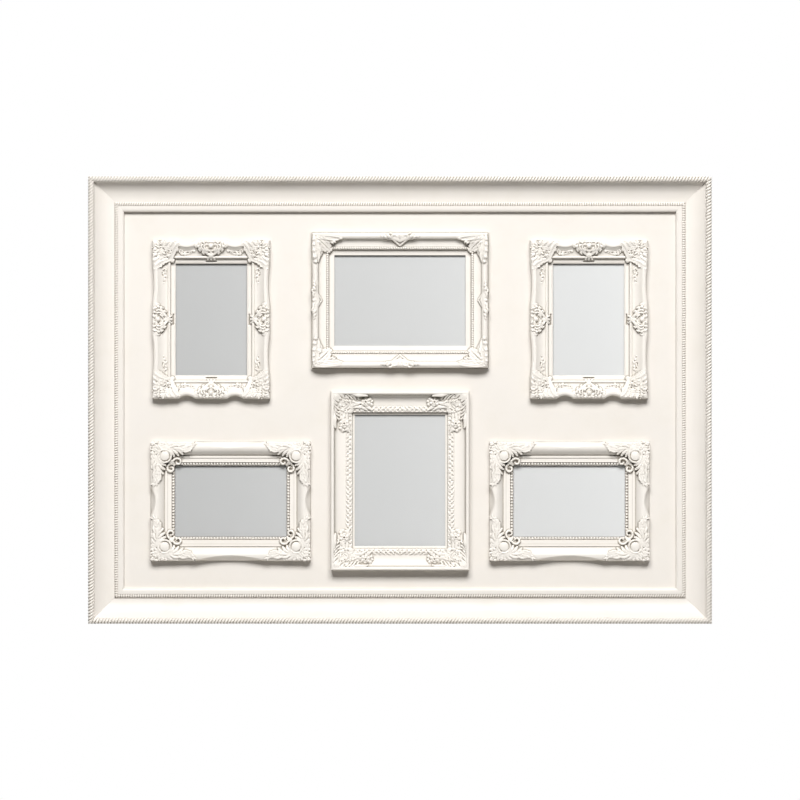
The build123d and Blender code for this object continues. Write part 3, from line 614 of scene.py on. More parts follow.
    def fan(self, along, side, spread, count, reach, heights, ridge=0.8, crinkle=0.3):
        """Shell that opens from a hub like a hand fan, in lobes whose ridges follow the cosine of the angle.

        It climbs from the first height at the hub to the second at its scalloped edge, where it rounds over
        as the eighth power of the way out. Slow waves bend the lobes, and others crinkle them.
        """
        radius, angle = np.hypot(along, side), np.arctan2(side, along)
        for size, run, drift in FAN_WAVES:
            angle = angle + size * np.sin(run * along + drift * side)
        lobe = np.abs(np.cos(math.pi * count * angle / (2 * spread)))
        edge = reach * (FAN_EDGE[0] + FAN_EDGE[1] * np.sqrt(lobe))
        share = np.clip(radius / np.maximum(edge, 1e-6), 0, 1)
        wave = np.cos(2 * math.pi * radius / FAN_RIPPLE + FAN_SWIRL * angle)
        wave = wave * np.cos(FAN_CROSSING[0] * side + FAN_CROSSING[1] * along)
        low, high = heights
        back = low + (high - low) * share + (ridge * lobe + crinkle * wave) * share - share**8
        self.lay(WHOLE, (radius < edge) & (np.abs(angle) < spread), back)

    def corner_fan(self, hub, margin, cap, spread, count, heights, **look):
        """Fan that opens from a hub towards the corner, as far as a margin inside the two edges."""
        a, b = self.across[:, None] - hub[0], self.down[None, :] - hub[1]
        radius = np.hypot(a, b)
        to_side = (hub[0] - margin) * radius / np.maximum(-a, 1e-6)
        to_top = (hub[1] - margin) * radius / np.maximum(-b, 1e-6)
        reach = np.minimum(to_side, to_top)
        along, side = -(a + b) / math.sqrt(2), (a - b) / math.sqrt(2)
        self.fan(along, side, spread, count, np.minimum(reach, cap), heights, **look)

    def middle_fans(self, hub, margin, cap, spread, count, heights, **look):
        """Fans that open outwards from a hub on the middles of the top and of the side."""
        a, b = self.across[:, None], self.down[None, :]
        for along, side in ((hub - b, self.half[0] - a), (hub - a, self.half[1] - b)):
            radius = np.hypot(along, side)
            reach = np.minimum((hub - margin) * radius / np.maximum(along, 1e-6), cap)
            self.fan(along, side, spread, count, reach, heights, **look)


# A stroke lists points of inset from the left, inset from the top, half width and crest height. About a
# middle, the first two are the run from the middle and the inset.

# Swept frame: shell corners, palmettes on the middles, garlands and husks between them

SWEPT_RUNS = [
    ("steep_first", 0, 9.0, 4.0, 14.0), ("line", 4.0, 14.0, 6.5, 14.0), ("cove", 6.5, 14.0, 20.8, 6.5),
    ("line", 20.8, 6.5, 24.0, 6.5), ("line", 24.0, 3.4, 28.6, 2.9), ("line", 28.6, 2.9, 30.6, 1.8),
]
SWEPT_BEADS = [(22.4, 6.5, 1.6, 1.6)]
SHELL_TIPS = [
    [(27.0, 15.0, 1.2, 12.8), (28.8, 9.8, 1.8, 14.2), (32.4, 5.2, 1.8, 15.0), (34.6, 3.8, 1.2, 14.6)],
    [(27.4, 19.0, 1.0, 10.8), (28.8, 15.0, 1.4, 12.2), (31.2, 12.4, 1.3, 12.6), (32.6, 13.6, 1.0, 11.8)],
    [(24.0, 8.0, 1.0, 14.6), (26.4, 4.0, 1.6, 15.4), (29.2, 2.4, 1.0, 14.6)],
    [(19.0, 6.0, 1.2, 15.2), (20.4, 3.4, 1.6, 15.8), (22.6, 2.0, 0.9, 14.8)],
    [(12.0, 6.0, 1.3, 15.4), (12.6, 3.4, 1.8, 15.8), (14.2, 1.8, 1.0, 14.6)],
]
SHELL_EDGE = [
    (12.0, 29.6, 0.9, 11.6), (16.0, 27.6, 1.1, 11.2), (20.4, 26.0, 1.3, 10.8), (25.4, 27.4, 1.3, 9.0),
]
SHELL_CURLS = [((26.4, 27.0), 2.7, 9.4), ((6.4, 31.0), 2.0, 14.6), ((2.6, 33.2), 1.6, 13.6)]
SHELL_HUB = (26.2, 26.6)
SHELL_SPINE = [
    (23.0, 23.0, 5.0, 11.4), (18.0, 18.0, 11.0, 13.4), (11.0, 11.0, 14.0, 14.8), (5.0, 5.0, 9.0, 15.4),
]
PALMETTE = [
    [(0.6, 21.4, 1.0, 10.0), (3.6, 19.4, 1.1, 11.0), (7.4, 16.4, 1.3, 12.2), (12.2, 12.4, 1.5, 13.4),
     (17.0, 8.2, 1.7, 14.4), (20.8, 4.6, 1.3, 14.4)],
    [(18.0, 5.6, 1.2, 14.8), (20.2, 7.4, 1.6, 14.4), (19.2, 9.6, 1.2, 13.4)],
    [(13.0, 9.8, 1.2, 14.2), (15.4, 12.0, 1.6, 13.6), (14.4, 14.4, 1.2, 12.6)],
    [(8.4, 13.8, 1.1, 13.0), (10.6, 16.2, 1.5, 12.4), (9.4, 18.2, 1.1, 11.4)],
    [(8.0, 14.6, 1.0, 13.0), (10.6, 12.0, 1.3, 14.4), (12.6, 8.6, 1.4, 15.2), (10.8, 6.6, 1.2, 15.4)],
    [(14.6, 6.4, 1.2, 15.0), (14.8, 4.2, 1.6, 15.6), (13.4, 2.2, 1.3, 15.0)],
    [(4.6, 14.8, 0.9, 13.4), (7.4, 12.6, 1.2, 14.6), (8.8, 9.8, 1.3, 15.2), (8.0, 6.6, 1.1, 15.4)],
    [(1.6, 14.6, 0.9, 13.0), (4.2, 13.2, 1.1, 14.2), (5.8, 10.8, 1.0, 14.8)],
    [(8.6, 4.4, 1.2, 15.6), (9.6, 3.0, 1.5, 15.6), (8.8, 1.8, 1.1, 14.8)],
    [(3.4, 3.2, 1.2, 15.6), (4.6, 2.2, 1.4, 15.4), (5.6, 2.8, 1.0, 15.0)],
    [(4.0, 17.4, 1.0, 11.8), (6.4, 15.6, 1.2, 12.8), (8.0, 13.4, 0.9, 13.6)],
    [(0.0, 19.4, 1.7, 11.0), (0.0, 22.6, 1.8, 9.4), (0.0, 25.4, 1.5, 6.8)],
    [(1.6, 21.0, 1.0, 10.0), (3.4, 23.4, 1.3, 8.8), (4.6, 25.4, 1.3, 6.6)],
]
MEDALLION = 8.0
PALMETTE_EYES = ((4.8, 8.6), (10.4, 10.6), (2.6, 16.4), (11.2, 4.6), (6.6, 4.2), (14.2, 9.6), (1.2, 4.0))
PALMETTE_BALL = (16.2, 8.6, 2.1)
CLASP_SLOT = (6.6, 27.6, 0.75, 3.2)
GARLAND = [(32.6, 11.6, 1.4, 9.6), (38.0, 15.0, 2.8, 8.2), (46.0, 16.4, 3.0, 7.8), (55.6, 14.0, 1.6, 8.8)]
HUSKS = [(15.2, 32.6, 3.0, 8.2), (15.4, 40.0, 3.0, 8.0), (15.4, 47.0, 2.6, 7.9), (15.6, 55.6, 1.0, 7.8)]
SWEPT_SCALLOPS = {"end": (35.0, 56.2, 4.0), "side": (29.0, 83.8, 2.0)}


def carve_swept(carving):
    """Shell corners, palmettes, garlands along the ends and husks down the sides."""
    carving.leaves([GARLAND], rise=0.9)
    carving.sprigs(GARLAND, count=30, seed=4, length=3.2, half_width=1.1, lift=1.2, eyes=14)
    carving.sprigs(HUSKS, count=24, seed=5, length=3.4, half_width=1.0, lift=0.8, eyes=10)
    carving.corner_fan(
        SHELL_HUB, margin=1.4, cap=32.0, spread=math.radians(74), count=15, heights=(9.4, 14.8),
        ridge=0.45, crinkle=0.5)
    carving.leaves(SHELL_TIPS, rise=1.2, both=True)
    carving.sprigs(SHELL_SPINE, count=50, seed=11, length=4.2, half_width=1.0, lift=0.6, lean=1.3, eyes=16)
    carving.leaves([SHELL_EDGE], rise=1.0, both=True)
    for (a, b), radius, top in SHELL_CURLS:
        carving.dome((a, b), radius, top, drop=1.3)
        carving.dome((b, a), radius, top, drop=1.3)
    carving.middle_fans(
        hub=21.6, margin=1.6, cap=21.0, spread=math.radians(50), count=9, heights=(9.8, 13.6),
        ridge=0.3, crinkle=0.2)
    carving.on_end(PALMETTE, rise=1.3)
    carving.on_side(PALMETTE, rise=1.3)
    reach, inset, half_width, depth = CLASP_SLOT
    run, ball, radius = PALMETTE_BALL
    for turn in (0, 1):
        half = carving.half[turn]
        order = 1 - 2 * turn
        carving.dome((half, MEDALLION)[::order], radius=3.0, top=15.8, drop=1.6)
        carving.dome((half - run, ball)[::order], radius, top=16.2, drop=1.6)
        slot = [(half - reach, inset), (half, inset)]
        carving.score([(*spot[::order], half_width) for spot in slot], depth)
        for eye_run, eye_inset in PALMETTE_EYES:
            carving.pit((half - eye_run, eye_inset)[::order])


# Beaded frame: diagonal leaves in the corners and hearts with wings on the middles

BEADED_RUNS = [
    ("line", 0, 3.5, 2.1, 3.5), ("line", 2.1, 11.0, 10.1, 11.0), ("steep_first", 10.1, 10.0, 20.3, 6.5),
    ("line", 20.3, 6.5, 23.5, 6.5), ("line", 23.5, 2.8, 30.9, 1.8),
]
BEADED_BEADS = [(6.1, 11.0, 4.0, 4.0)]
BEADED_PEARLS = (21.9, 1.6, 6.6)
CORNER_TONGUES = [
    [(9.0, 11.0, 2.0, 15.6), (20.0, 12.6, 2.8, 14.2), (28.0, 13.2, 2.6, 12.6), (33.6, 11.4, 1.4, 12.0)],
    [(9.0, 8.0, 2.2, 16.4), (22.0, 9.4, 2.8, 15.8), (32.0, 10.4, 2.8, 14.8), (39.6, 9.4, 1.4, 14.0)],
    [(8.0, 4.6, 2.2, 16.4), (20.0, 4.6, 2.6, 16.8), (32.0, 5.8, 2.8, 16.4), (38.0, 6.8, 2.4, 15.8),
     (43.0, 8.0, 1.2, 14.6)],
]
TONGUE_LEAVES = [
    (9.0, 6.4, 3.0, 16.2), (20.0, 9.6, 5.0, 15.4), (30.0, 9.6, 4.4, 14.6), (40.0, 8.2, 2.4, 14.8),
]
CORNER_CURLS = ((4.4, 17.6, 2.8), (4.6, 25.4, 3.0), (5.4, 33.6, 3.2), (6.6, 40.0, 2.6), (4.0, 11.0, 2.4))
CORNER_STROKES = ((-7.6, 9.0, 22.4), (-2.6, 5.4, 25.4), (2.6, 5.4, 25.4), (7.6, 9.0, 22.4))
CORNER_CREST = ((6.0, 16.0, 26.0), (16.0, 14.8, 8.6))
CORNER_LEAF = ((0.6, 1.3), (1.15, 1.8), (0.85, 1.9))
HEART_PRESS = 0.76
HEART = [
    [(0.0, 10.0, 4.6, 14.0), (6.0, 7.8, 4.2, 14.8), (14.0, 7.2, 3.4, 14.8), (23.0, 6.8, 1.4, 14.8)],
    [(0.0, 18.8, 1.2, 9.6), (4.6, 14.6, 1.5, 11.8), (8.6, 10.6, 1.7, 14.2), (10.4, 7.2, 1.8, 16.0),
     (8.6, 4.9, 1.7, 16.4), (5.6, 5.2, 1.5, 16.2), (4.2, 7.2, 1.3, 15.4)],
    [(0.0, 13.0, 1.0, 12.4), (0.0, 9.0, 1.7, 15.2), (0.0, 5.4, 1.8, 16.2)],
    [(0.0, 16.2, 0.9, 9.8), (2.8, 12.8, 1.0, 11.8), (4.6, 10.2, 1.0, 13.4)],
    [(11.0, 10.4, 1.2, 14.4), (13.8, 7.4, 2.3, 17.4), (16.4, 5.4, 1.9, 17.4)],
    [(15.6, 10.0, 1.1, 14.0), (18.4, 7.8, 2.1, 17.0), (20.8, 6.2, 1.7, 17.0)],
    [(20.2, 9.2, 1.0, 13.8), (22.6, 7.4, 1.7, 16.4), (24.4, 6.0, 1.3, 16.2)],
    [(9.8, 4.4, 1.0, 16.6), (12.4, 3.0, 1.5, 16.8), (15.0, 3.2, 1.0, 16.0)],
]


def carve_beaded(carving):
    """Diagonal leaves in the corners, tongues along the rim, and a heart with wings on each middle."""
    carving.leaves(CORNER_TONGUES, rise=1.8, vein=0.5, both=True)
    for a, b, radius in CORNER_CURLS:
        carving.dome((a, b), radius, top=18.0, drop=2.6)
    for off, start, end in CORNER_STROKES:
        spread = np.array([off, -off]) / 2
        spots = (start, (start + end) / 2, end)
        heights = np.interp(spots, *CORNER_CREST)
        carving.leaf([
            (*(spot + spread * share), half_width, height)
            for spot, (share, half_width), height in zip(spots, CORNER_LEAF, heights)
        ], rise=1.7, vein=0.4)
    for path, seed in ((TONGUE_LEAVES, 7), (swapped(TONGUE_LEAVES), 8)):
        carving.sprigs(path, count=10, seed=seed, length=4.2, half_width=1.1, lift=0.9)
    carving.on_end(HEART, rise=2.0)
    carving.on_side([[(u, HEART_PRESS * w, *rest) for u, w, *rest in stroke] for stroke in HEART], rise=2.0)


# Rosette frame: ringed bosses, acanthus along the rims and paired volutes at the inner corners

ROSETTE_RUNS = [
    ("steep_first", 0, 8.6, 8.0, 13.5), ("bow", 8.0, 13.5, 18.2, 4.2), ("line", 18.2, 4.2, 19.0, 4.2),
    ("line", 19.0, 5.4, 21.6, 5.4), ("line", 21.6, 4.2, 27.4, 4.2), ("line", 27.4, 1.8, 31.6, 1.8),
]
ROSETTE_PEARLS = (29.5, 1.75, 1.6)
BOSS = (19.0, 19.0)
RIM_MASS = [(23.0, 10.6, 6.4, 14.2), (31.0, 9.4, 5.8, 14.2), (39.0, 8.6, 4.6, 14.0)]
END_LOBE = [(39.0, 8.6, 3.2, 14.6), (46.0, 8.8, 4.8, 14.8), (52.0, 7.4, 4.0, 14.8), (57.4, 3.4, 1.3, 14.0)]
RIM_LOBES = [
    [(41.0, 12.4, 1.0, 14.8), (46.6, 13.4, 1.3, 14.8), (52.2, 11.2, 1.3, 15.0), (57.8, 4.8, 1.1, 14.4)],
    [(26.8, 13.0, 1.2, 14.8), (29.8, 16.4, 1.9, 13.8), (31.0, 19.4, 1.5, 11.8)],
    [(30.4, 12.0, 1.2, 15.0), (34.4, 15.2, 2.0, 14.2), (36.4, 18.2, 1.5, 12.0)],
    [(34.8, 11.0, 1.2, 15.0), (39.4, 13.6, 2.0, 14.4), (42.2, 16.6, 1.4, 12.6)],
    [(31.0, 9.0, 1.2, 15.2), (37.0, 9.4, 1.9, 15.4), (42.6, 10.6, 1.4, 15.2)],
    [(27.4, 7.4, 1.2, 15.2), (32.0, 5.2, 1.9, 15.4), (37.6, 5.0, 1.4, 14.8)],
    [(37.0, 6.6, 1.0, 15.2), (42.0, 4.4, 1.7, 15.2), (47.0, 4.4, 1.1, 14.4)],
    [(24.0, 5.0, 1.1, 14.2), (27.4, 3.0, 1.6, 13.8), (31.4, 2.6, 1.0, 12.6)],
]
CORNER_CROWD = [
    (17.0, 17.0, 10.0, 13.4), (12.0, 12.0, 11.0, 13.8), (7.0, 7.0, 9.0, 13.4), (4.0, 4.0, 4.0, 12.2),
]
TONGUE = [(25.0, 25.0, 2.2, 11.4), (28.4, 28.4, 2.6, 8.8), (31.0, 31.0, 1.4, 5.6)]
VOLUTE = [
    (29.0, 25.8, 1.3, 9.4), (32.2, 22.8, 1.5, 9.2), (36.6, 22.4, 1.5, 9.0), (39.4, 25.4, 1.5, 8.6),
    (38.4, 28.8, 1.4, 7.8), (35.4, 29.6, 1.3, 7.4), (33.6, 27.8, 1.0, 7.2),
]
VOLUTE_EYE = (36.2, 26.0)
ROSETTE_SCOOP = (58.0, 7.4, 3.4)


def carve_rosette(carving):
    """Domed boss in a ring, leaves along both rims, a tongue and two volutes that clasp the inner corner."""
    scoop(carving)
    carving.leaves([RIM_MASS], rise=1.6, both=True)
    carving.leaves([END_LOBE], rise=1.5, vein=0.3, both=True)
    carving.corner_fan(
        BOSS, margin=0.6, cap=26.0, spread=math.radians(92), count=11, heights=(13.4, 13.2),
        ridge=0.5, crinkle=0.4)
    carving.sprigs(CORNER_CROWD, count=40, seed=23, length=4.4, half_width=1.15, lift=0.6, lean=1.2, eyes=14)
    for path, seed in ((END_LOBE, 51), (swapped(END_LOBE), 52)):
        carving.sprigs(path, count=12, seed=seed, length=4.0, half_width=1.1, lift=0.7)
    carving.leaves(RIM_LOBES, rise=1.4, vein=0.3, both=True)
    carving.leaf(TONGUE, vein=0.3)
    carving.leaves([VOLUTE], rise=1.9, both=True)
    for eye in (VOLUTE_EYE, VOLUTE_EYE[::-1]):
        carving.hollow(eye, radius=1.6, floor=2.4)
    carving.dome(BOSS, radius=9.6, top=12.9, drop=0.4)
    carving.ring(BOSS, radius=8.4, half_width=1.1, top=14.6)
    carving.dome(BOSS, radius=6.0, top=15.6, drop=1.0)


def scoop(carving):
    """Long facet that falls outwards from a shallow arc on each edge, between the carved corners."""
    start, depth, foot = ROSETTE_SCOOP
    a, b = carving.across[:, None], carving.down[None, :]
    for inset, run, half in ((b, a, carving.half[0]), (a, b, carving.half[1])):
        arc = np.maximum(edge_arch(run, start, 2 * half - start, depth), 1e-6)
        crest = moulding_height(arc, ROSETTE_RUNS, [])
        facet = foot + (crest - foot) * np.clip(inset / arc, 0, 1)
        carving.height = np.where(inset < arc, np.minimum(carving.height, facet), carving.height)


# Foliage frame: rolled leaves, scrolls and flowers in the corners, and a running band round the opening

FOLIAGE_RUNS = [
    ("line", 0, 14.7, 4.6, 14.7), ("steep_first", 4.6, 12.3, 20.0, 5.0), ("line", 20.0, 5.0, 27.6, 5.0),
    ("line", 27.6, 1.3, 31.2, 0.6),
]
FOLIAGE_BEADS = [(2.3, 14.7, 2.3, 2.3)]
BRAID = (23.8, 5.0, 2.6, 1.1, 1.4)
BRAID_WAYS = ((1.0, 0.0), (-1.0, 0.35))
BRAID_SWAY = 0.6
BRAID_WAVE = 0.7
BRAID_STAGGER = 0.25
BRAID_STRETCH = 1.9
BRAID_OFFSET = 0.12
FLOWERS = ((45.6, 14.4), (17.6, 42.6))
FLOWER_SHIFT = 2.6
PETALS = 6
PETAL_REACH = 4.1
PETAL_TURN = 0.4
SCROLL = [
    [(13.0, 10.0, 1.6, 15.4), (9.0, 5.6, 2.2, 16.8), (4.6, 3.4, 1.8, 17.0)],
    [(17.0, 8.0, 1.4, 14.8), (13.6, 4.2, 2.0, 16.6), (9.4, 2.4, 1.3, 16.4)],
    [(10.0, 11.0, 1.2, 15.6), (6.6, 8.0, 1.5, 17.2), (5.0, 5.4, 1.2, 17.2)],
]
ROLLED_ARCS = (4.4, 7.6, 10.8)
ROLLED_SPAN = (-50, 140)
ROLLED_POINTS = 10
ROLLED_GROOVE = (0.55, 0.9)
ROLLED_CENTRE = (16.4, 16.4)
FOLIAGE_MASS = [
    (18.0, 9.0, 6.0, 12.6), (29.0, 12.0, 7.4, 10.2), (39.0, 14.6, 6.8, 8.4), (50.0, 15.4, 4.0, 7.6),
]
CORNER_MASS = [
    (7.0, 7.0, 6.0, 15.0), (14.0, 14.0, 9.6, 12.8), (20.0, 20.0, 10.6, 10.6), (24.4, 24.4, 5.4, 8.8),
]
RIM_RIB = [(0.0, 4.6, 1.0, 15.6), (3.4, 6.8, 1.5, 13.8), (6.4, 10.8, 1.1, 12.0)]
RIM_RIBS = (13.0, 17.4, 21.8, 26.2, 30.6)
FOLIAGE_LEAVES = [
    [(30.0, 4.0, 2.0, 16.0), (35.0, 4.2, 3.4, 17.0), (41.0, 4.8, 2.8, 16.6), (48.0, 6.4, 1.0, 15.2)],
    [(29.0, 17.6, 1.4, 9.8), (34.6, 16.6, 2.0, 10.0), (39.0, 15.6, 1.4, 9.6)],
    [(27.0, 21.8, 1.4, 8.6), (33.0, 20.8, 1.9, 8.8), (38.0, 22.0, 1.4, 8.4)],
    [(37.0, 20.4, 1.2, 8.6), (41.6, 21.8, 1.8, 8.6), (46.4, 24.4, 1.2, 8.0)],
    [(46.0, 21.0, 1.4, 8.4), (50.0, 22.4, 1.8, 8.4), (54.0, 24.8, 1.1, 7.8)],
]
FLOWER_LOBES = (
    (51.4, 10.4, 2.4, 9.4), (54.0, 13.6, 2.1, 8.6), (53.0, 17.6, 2.3, 8.4), (49.2, 20.4, 2.2, 8.4),
)


def carve_foliage(carving):
    """Rolled leaf, scroll, ribs and flowers in the corner, with leaves between, and a braided band."""
    braid(carving)
    carving.leaves([FOLIAGE_MASS], rise=1.8, both=True)
    carving.leaf(CORNER_MASS, rise=1.8)
    angle = np.radians(np.linspace(*ROLLED_SPAN, ROLLED_POINTS))
    half_width, depth = ROLLED_GROOVE
    for radius in ROLLED_ARCS:
        arc = zip(ROLLED_CENTRE[0] + radius * np.cos(angle), ROLLED_CENTRE[1] + radius * np.sin(angle))
        carving.score([(a, b, half_width) for a, b in arc], depth)
    for start in RIM_RIBS:
        carving.leaves([[(start + run, *rest) for run, *rest in RIM_RIB]], rise=1.3, both=True)
    for path, seed in ((FOLIAGE_MASS, 31), (swapped(FOLIAGE_MASS), 37)):
        carving.sprigs(path, count=26, seed=seed, length=3.8, half_width=1.1, lift=0.8, eyes=14)
    carving.sprigs(CORNER_MASS, count=18, seed=41, length=3.8, half_width=1.1, lift=0.6, lean=1.2, eyes=8)
    carving.leaves(FOLIAGE_LEAVES, rise=1.3, vein=0.3, both=True)
    for a, b, radius, top in FLOWER_LOBES:
        carving.dome((a, b), radius, top, drop=1.4)
        carving.dome((b + FLOWER_SHIFT, a - FLOWER_SHIFT), radius, top, drop=1.4)
    for centre in FLOWERS:
        for turn in np.arange(PETALS) * 2 * math.pi / PETALS + PETAL_TURN:
            petal = np.add(centre, (PETAL_REACH * math.cos(turn), PETAL_REACH * math.sin(turn)))
            carving.dome(petal, radius=2.5, top=10.2, drop=1.7)
        carving.ring(centre, radius=2.0, half_width=0.9, top=10.8)
        carving.hollow(centre, radius=0.9, floor=8.6)
    carving.leaves(SCROLL, rise=1.3, vein=0.3, both=True)


def braid(carving):
    """Band of short leaves that lean both ways in turn and sway along the run.

    The height over a leaf is that of a half ellipse of its phase and of its place across the band.
    """
    middle, foot, reach, half_width, rise = BRAID
    pitch = bpy.context.scene.collage_castings.band_pitch / MM
    a, b = carving.across[:, None], carving.down[None, :]
    across = np.minimum(a, b) - middle
    run = np.where(a < b, carving.half[1] - b, carving.half[0] - a)
    for lean, lift in BRAID_WAYS:
        leaning = run + BRAID_SWAY * np.sin(BRAID_WAVE * run) + lean * across
        phase = (leaning / pitch + BRAID_STAGGER * lean) % 1 - 0.5
        share = across / (reach + half_width) - BRAID_OFFSET * lean
        near = np.hypot(phase * pitch / (BRAID_STRETCH * half_width), share)
        band = foot + lift + rise * np.sqrt(np.clip(1 - near**2, 0, None))
        carving.lay(WHOLE, near < 1, band)


# Building a cast frame from its carved quarter


def inset_lines(border, breaks, half, zones, cell, plain_cell):
    """Insets of the grid lines from an edge to the middle.

    The moulding is cut into even cells between its vertical steps, and the run beyond it into fine cells in
    the carved zones and plain ones elsewhere.
    """
    marks = sorted({0.0, border, *breaks, *(mark + STEP_WIDTH for mark in breaks)})
    spans = [(low, high, cell) for low, high in zip(marks, marks[1:])]
    edges = sorted({border, half, *(mark for zone in zones for mark in zone if border < mark < half)})
    for low, high in zip(edges, edges[1:]):
        carved = any(start <= (low + high) / 2 <= end for start, end in zones)
        spans.append((low, high, cell if carved else plain_cell))
    lines = [np.zeros(1)]
    for low, high, step in spans:
        lines.append(np.linspace(low, high, max(1, math.ceil((high - low) / step - 1e-6)) + 1)[1:])
    return np.concatenate(lines)


def soften(field, passes):
    """Field averaged with its neighbours a few times, with weights one, two and one."""
    for _ in range(passes):
        padded = np.pad(field, 1, mode="edge")
        field = (padded[:-2, 1:-1] + 2 * padded[1:-1, 1:-1] + padded[2:, 1:-1]) / 4
        padded = np.pad(field, 1, mode="edge")
        field = (padded[1:-1, :-2] + 2 * padded[1:-1, 1:-1] + padded[1:-1, 2:]) / 4
    return field


def mirrored(field, sign=1):
    """Field followed by its mirror image times a sign, with the row that they share kept once."""
    return np.concatenate([field, sign * field[-2::-1]], axis=0)


def boundary_loop(index, low, high):
    """Point numbers round a rectangle of grid lines, down the left side first, one array for each side."""
    (i0, i1), (j0, j1) = low, high
    return [index[i0, j0:j1], index[i0:i1, j1], index[i1, j1:j0:-1], index[i1:i0:-1, j0]]


def frame_shell(centre, half, border, carving, shift):
    """Closed shell of a cast frame: the carved face, walls at both edges and a flat back."""
    quarter_x = carving.across[:, None] + shift[0] - half[0]
    quarter_z = half[1] - carving.down[None, :] - shift[1]
    height = mirrored(mirrored(carving.height).T).T
    x = mirrored(mirrored(quarter_x, -1).T).T
    z = mirrored(mirrored(quarter_z).T, -1).T
    columns, rows = height.shape
    inner_i, inner_j = (int(np.searchsorted(line, border - 1e-6)) for line in (carving.across, carving.down))
    i, j = np.arange(columns)[:, None], np.arange(rows)[None, :]
    inside = (i > inner_i) & (i < columns - 1 - inner_i) & (j > inner_j) & (j < rows - 1 - inner_j)
    index = np.where(inside, -1, np.cumsum(~inside.ravel()).reshape(inside.shape) - 1)
    face = np.stack([index[:-1, :-1], index[:-1, 1:], index[1:, 1:], index[1:, :-1]], axis=-1).reshape(-1, 4)
    window = (i >= inner_i) & (i < columns - 1 - inner_i) & (j >= inner_j) & (j < rows - 1 - inner_j)
    face = face[~window[:-1, :-1].ravel()]
    keep = ~inside
    points = np.stack([centre[0] + x[keep], -PANEL_FRONT - height[keep], centre[1] + z[keep]], axis=1)
    outer = boundary_loop(index, (0, columns - 1), (0, rows - 1))
    inner = boundary_loop(index, (inner_i, columns - 1 - inner_i), (inner_j, rows - 1 - inner_j))
    faces, back_points = [face], []
    loops = {}
    total = len(points)
    for name, sides in (("outer", outer), ("inner", inner)):
        loop = np.concatenate(sides)
        foot = np.arange(total, total + len(loop))
        total += len(loop)
        flat = points[loop].copy()
        flat[:, 1] = -PANEL_FRONT
        back_points.append(flat)
        wall = np.stack([loop, foot, np.roll(foot, -1), np.roll(loop, -1)], axis=1)
        faces.append(wall if name == "outer" else wall[:, ::-1])
        starts = np.cumsum([0] + [len(side) for side in sides])
        spans = zip(starts, starts[1:])
        loops[name] = [np.append(foot[start:end], foot[end % len(loop)]) for start, end in spans]
    for out_side, in_side in zip(loops["outer"], loops["inner"]):
        faces.append(np.concatenate([out_side[::-1], in_side])[None, :])
    # Marks for the paint: points below their smoothed surroundings get glaze and painted shade, and points
    # above it get a painted highlight.
    relief = (height - soften(height, RELIEF_PASSES))[keep] / RELIEF_SPAN
    foot_marks = np.zeros(total - len(points))
    recess = np.concatenate([np.clip(-relief, 0, 1), foot_marks])
    crest = np.concatenate([np.clip(relief, 0, 1), foot_marks])
    return np.vstack([points, *back_points]), faces, recess, crest


def pearl_shells(centre, half, row, pitch):
    """Row of pearls round an opening: balls cut flat below, in a groove and evenly spaced on each side."""
    inset, radius, foot = row
    reach = np.array(half) - inset
    spots = []
    for turn in range(4):
        run, out = (reach[1], reach[0]) if turn % 2 else (reach[0], reach[1])
        count = round(2 * run / pitch)
        along = np.linspace(-run, run, count, endpoint=False)
        spots.append(np.stack([along, np.full(count, -out)], axis=1) @ quarter_turn(turn))
    spots = np.vstack(spots)
    ring = np.linspace(0, 2 * math.pi, PEARL_POINTS, endpoint=False)[None, :]
    rise = np.radians(PEARL_RINGS)[:, None]
    ball = np.broadcast_arrays(np.cos(rise) * np.cos(ring), -np.sin(rise), np.cos(rise) * np.sin(ring))
    ball = np.vstack([np.stack(ball, -1).reshape(-1, 3), [(0, -1, 0)]]) * radius
    depth = np.full(len(spots), -PANEL_FRONT - foot)
    place = np.stack([centre[0] + spots[:, 0], depth, centre[1] + spots[:, 1]], axis=1)
    points = (place[:, None] + ball[None]).reshape(-1, 3)
    top = len(ball) - 1
    last = np.arange(top - PEARL_POINTS, top)
    cap = np.stack([last, np.roll(last, -1), np.full(PEARL_POINTS, top)], axis=1)
    base = np.arange(PEARL_POINTS)[None, ::-1]
    groups = outward(ball, [grid_quads(len(PEARL_RINGS), PEARL_POINTS, True), cap, base])
    start = (np.arange(len(spots)) * len(ball))[:, None, None]
    faces = [(start + group[None]).reshape(-1, group.shape[1]) for group in groups]
    # Painted shade and highlight: the lower part of each pearl, towards its groove, is marked for glaze and
    # painted shade, and the rest for a painted highlight.
    deep = np.clip(1 + ball[:, 1] / radius * PEARL_SHADE, 0, 1)
    return points, faces, np.tile(deep, len(spots)), np.tile(1 - deep, len(spots))


def quarter_turn(count):
    """Matrix that turns a row of front-view points by quarter turns."""
    angle = count * math.pi / 2
    return np.array([[math.cos(angle), math.sin(angle)], [-math.sin(angle), math.cos(angle)]])


def join_shells(*shells):
    """One set of points, faces and marks from several closed shells."""
    offset, points, faces, recess, crest = 0, [], [], [], []
    for shell_points, shell_faces, deep, high in shells:
        points.append(shell_points)
        faces += [face + offset for face in shell_faces]
        recess.append(deep)
        crest.append(high)
        offset += len(shell_points)
    return np.vstack(points), faces, np.concatenate(recess), np.concatenate(crest)


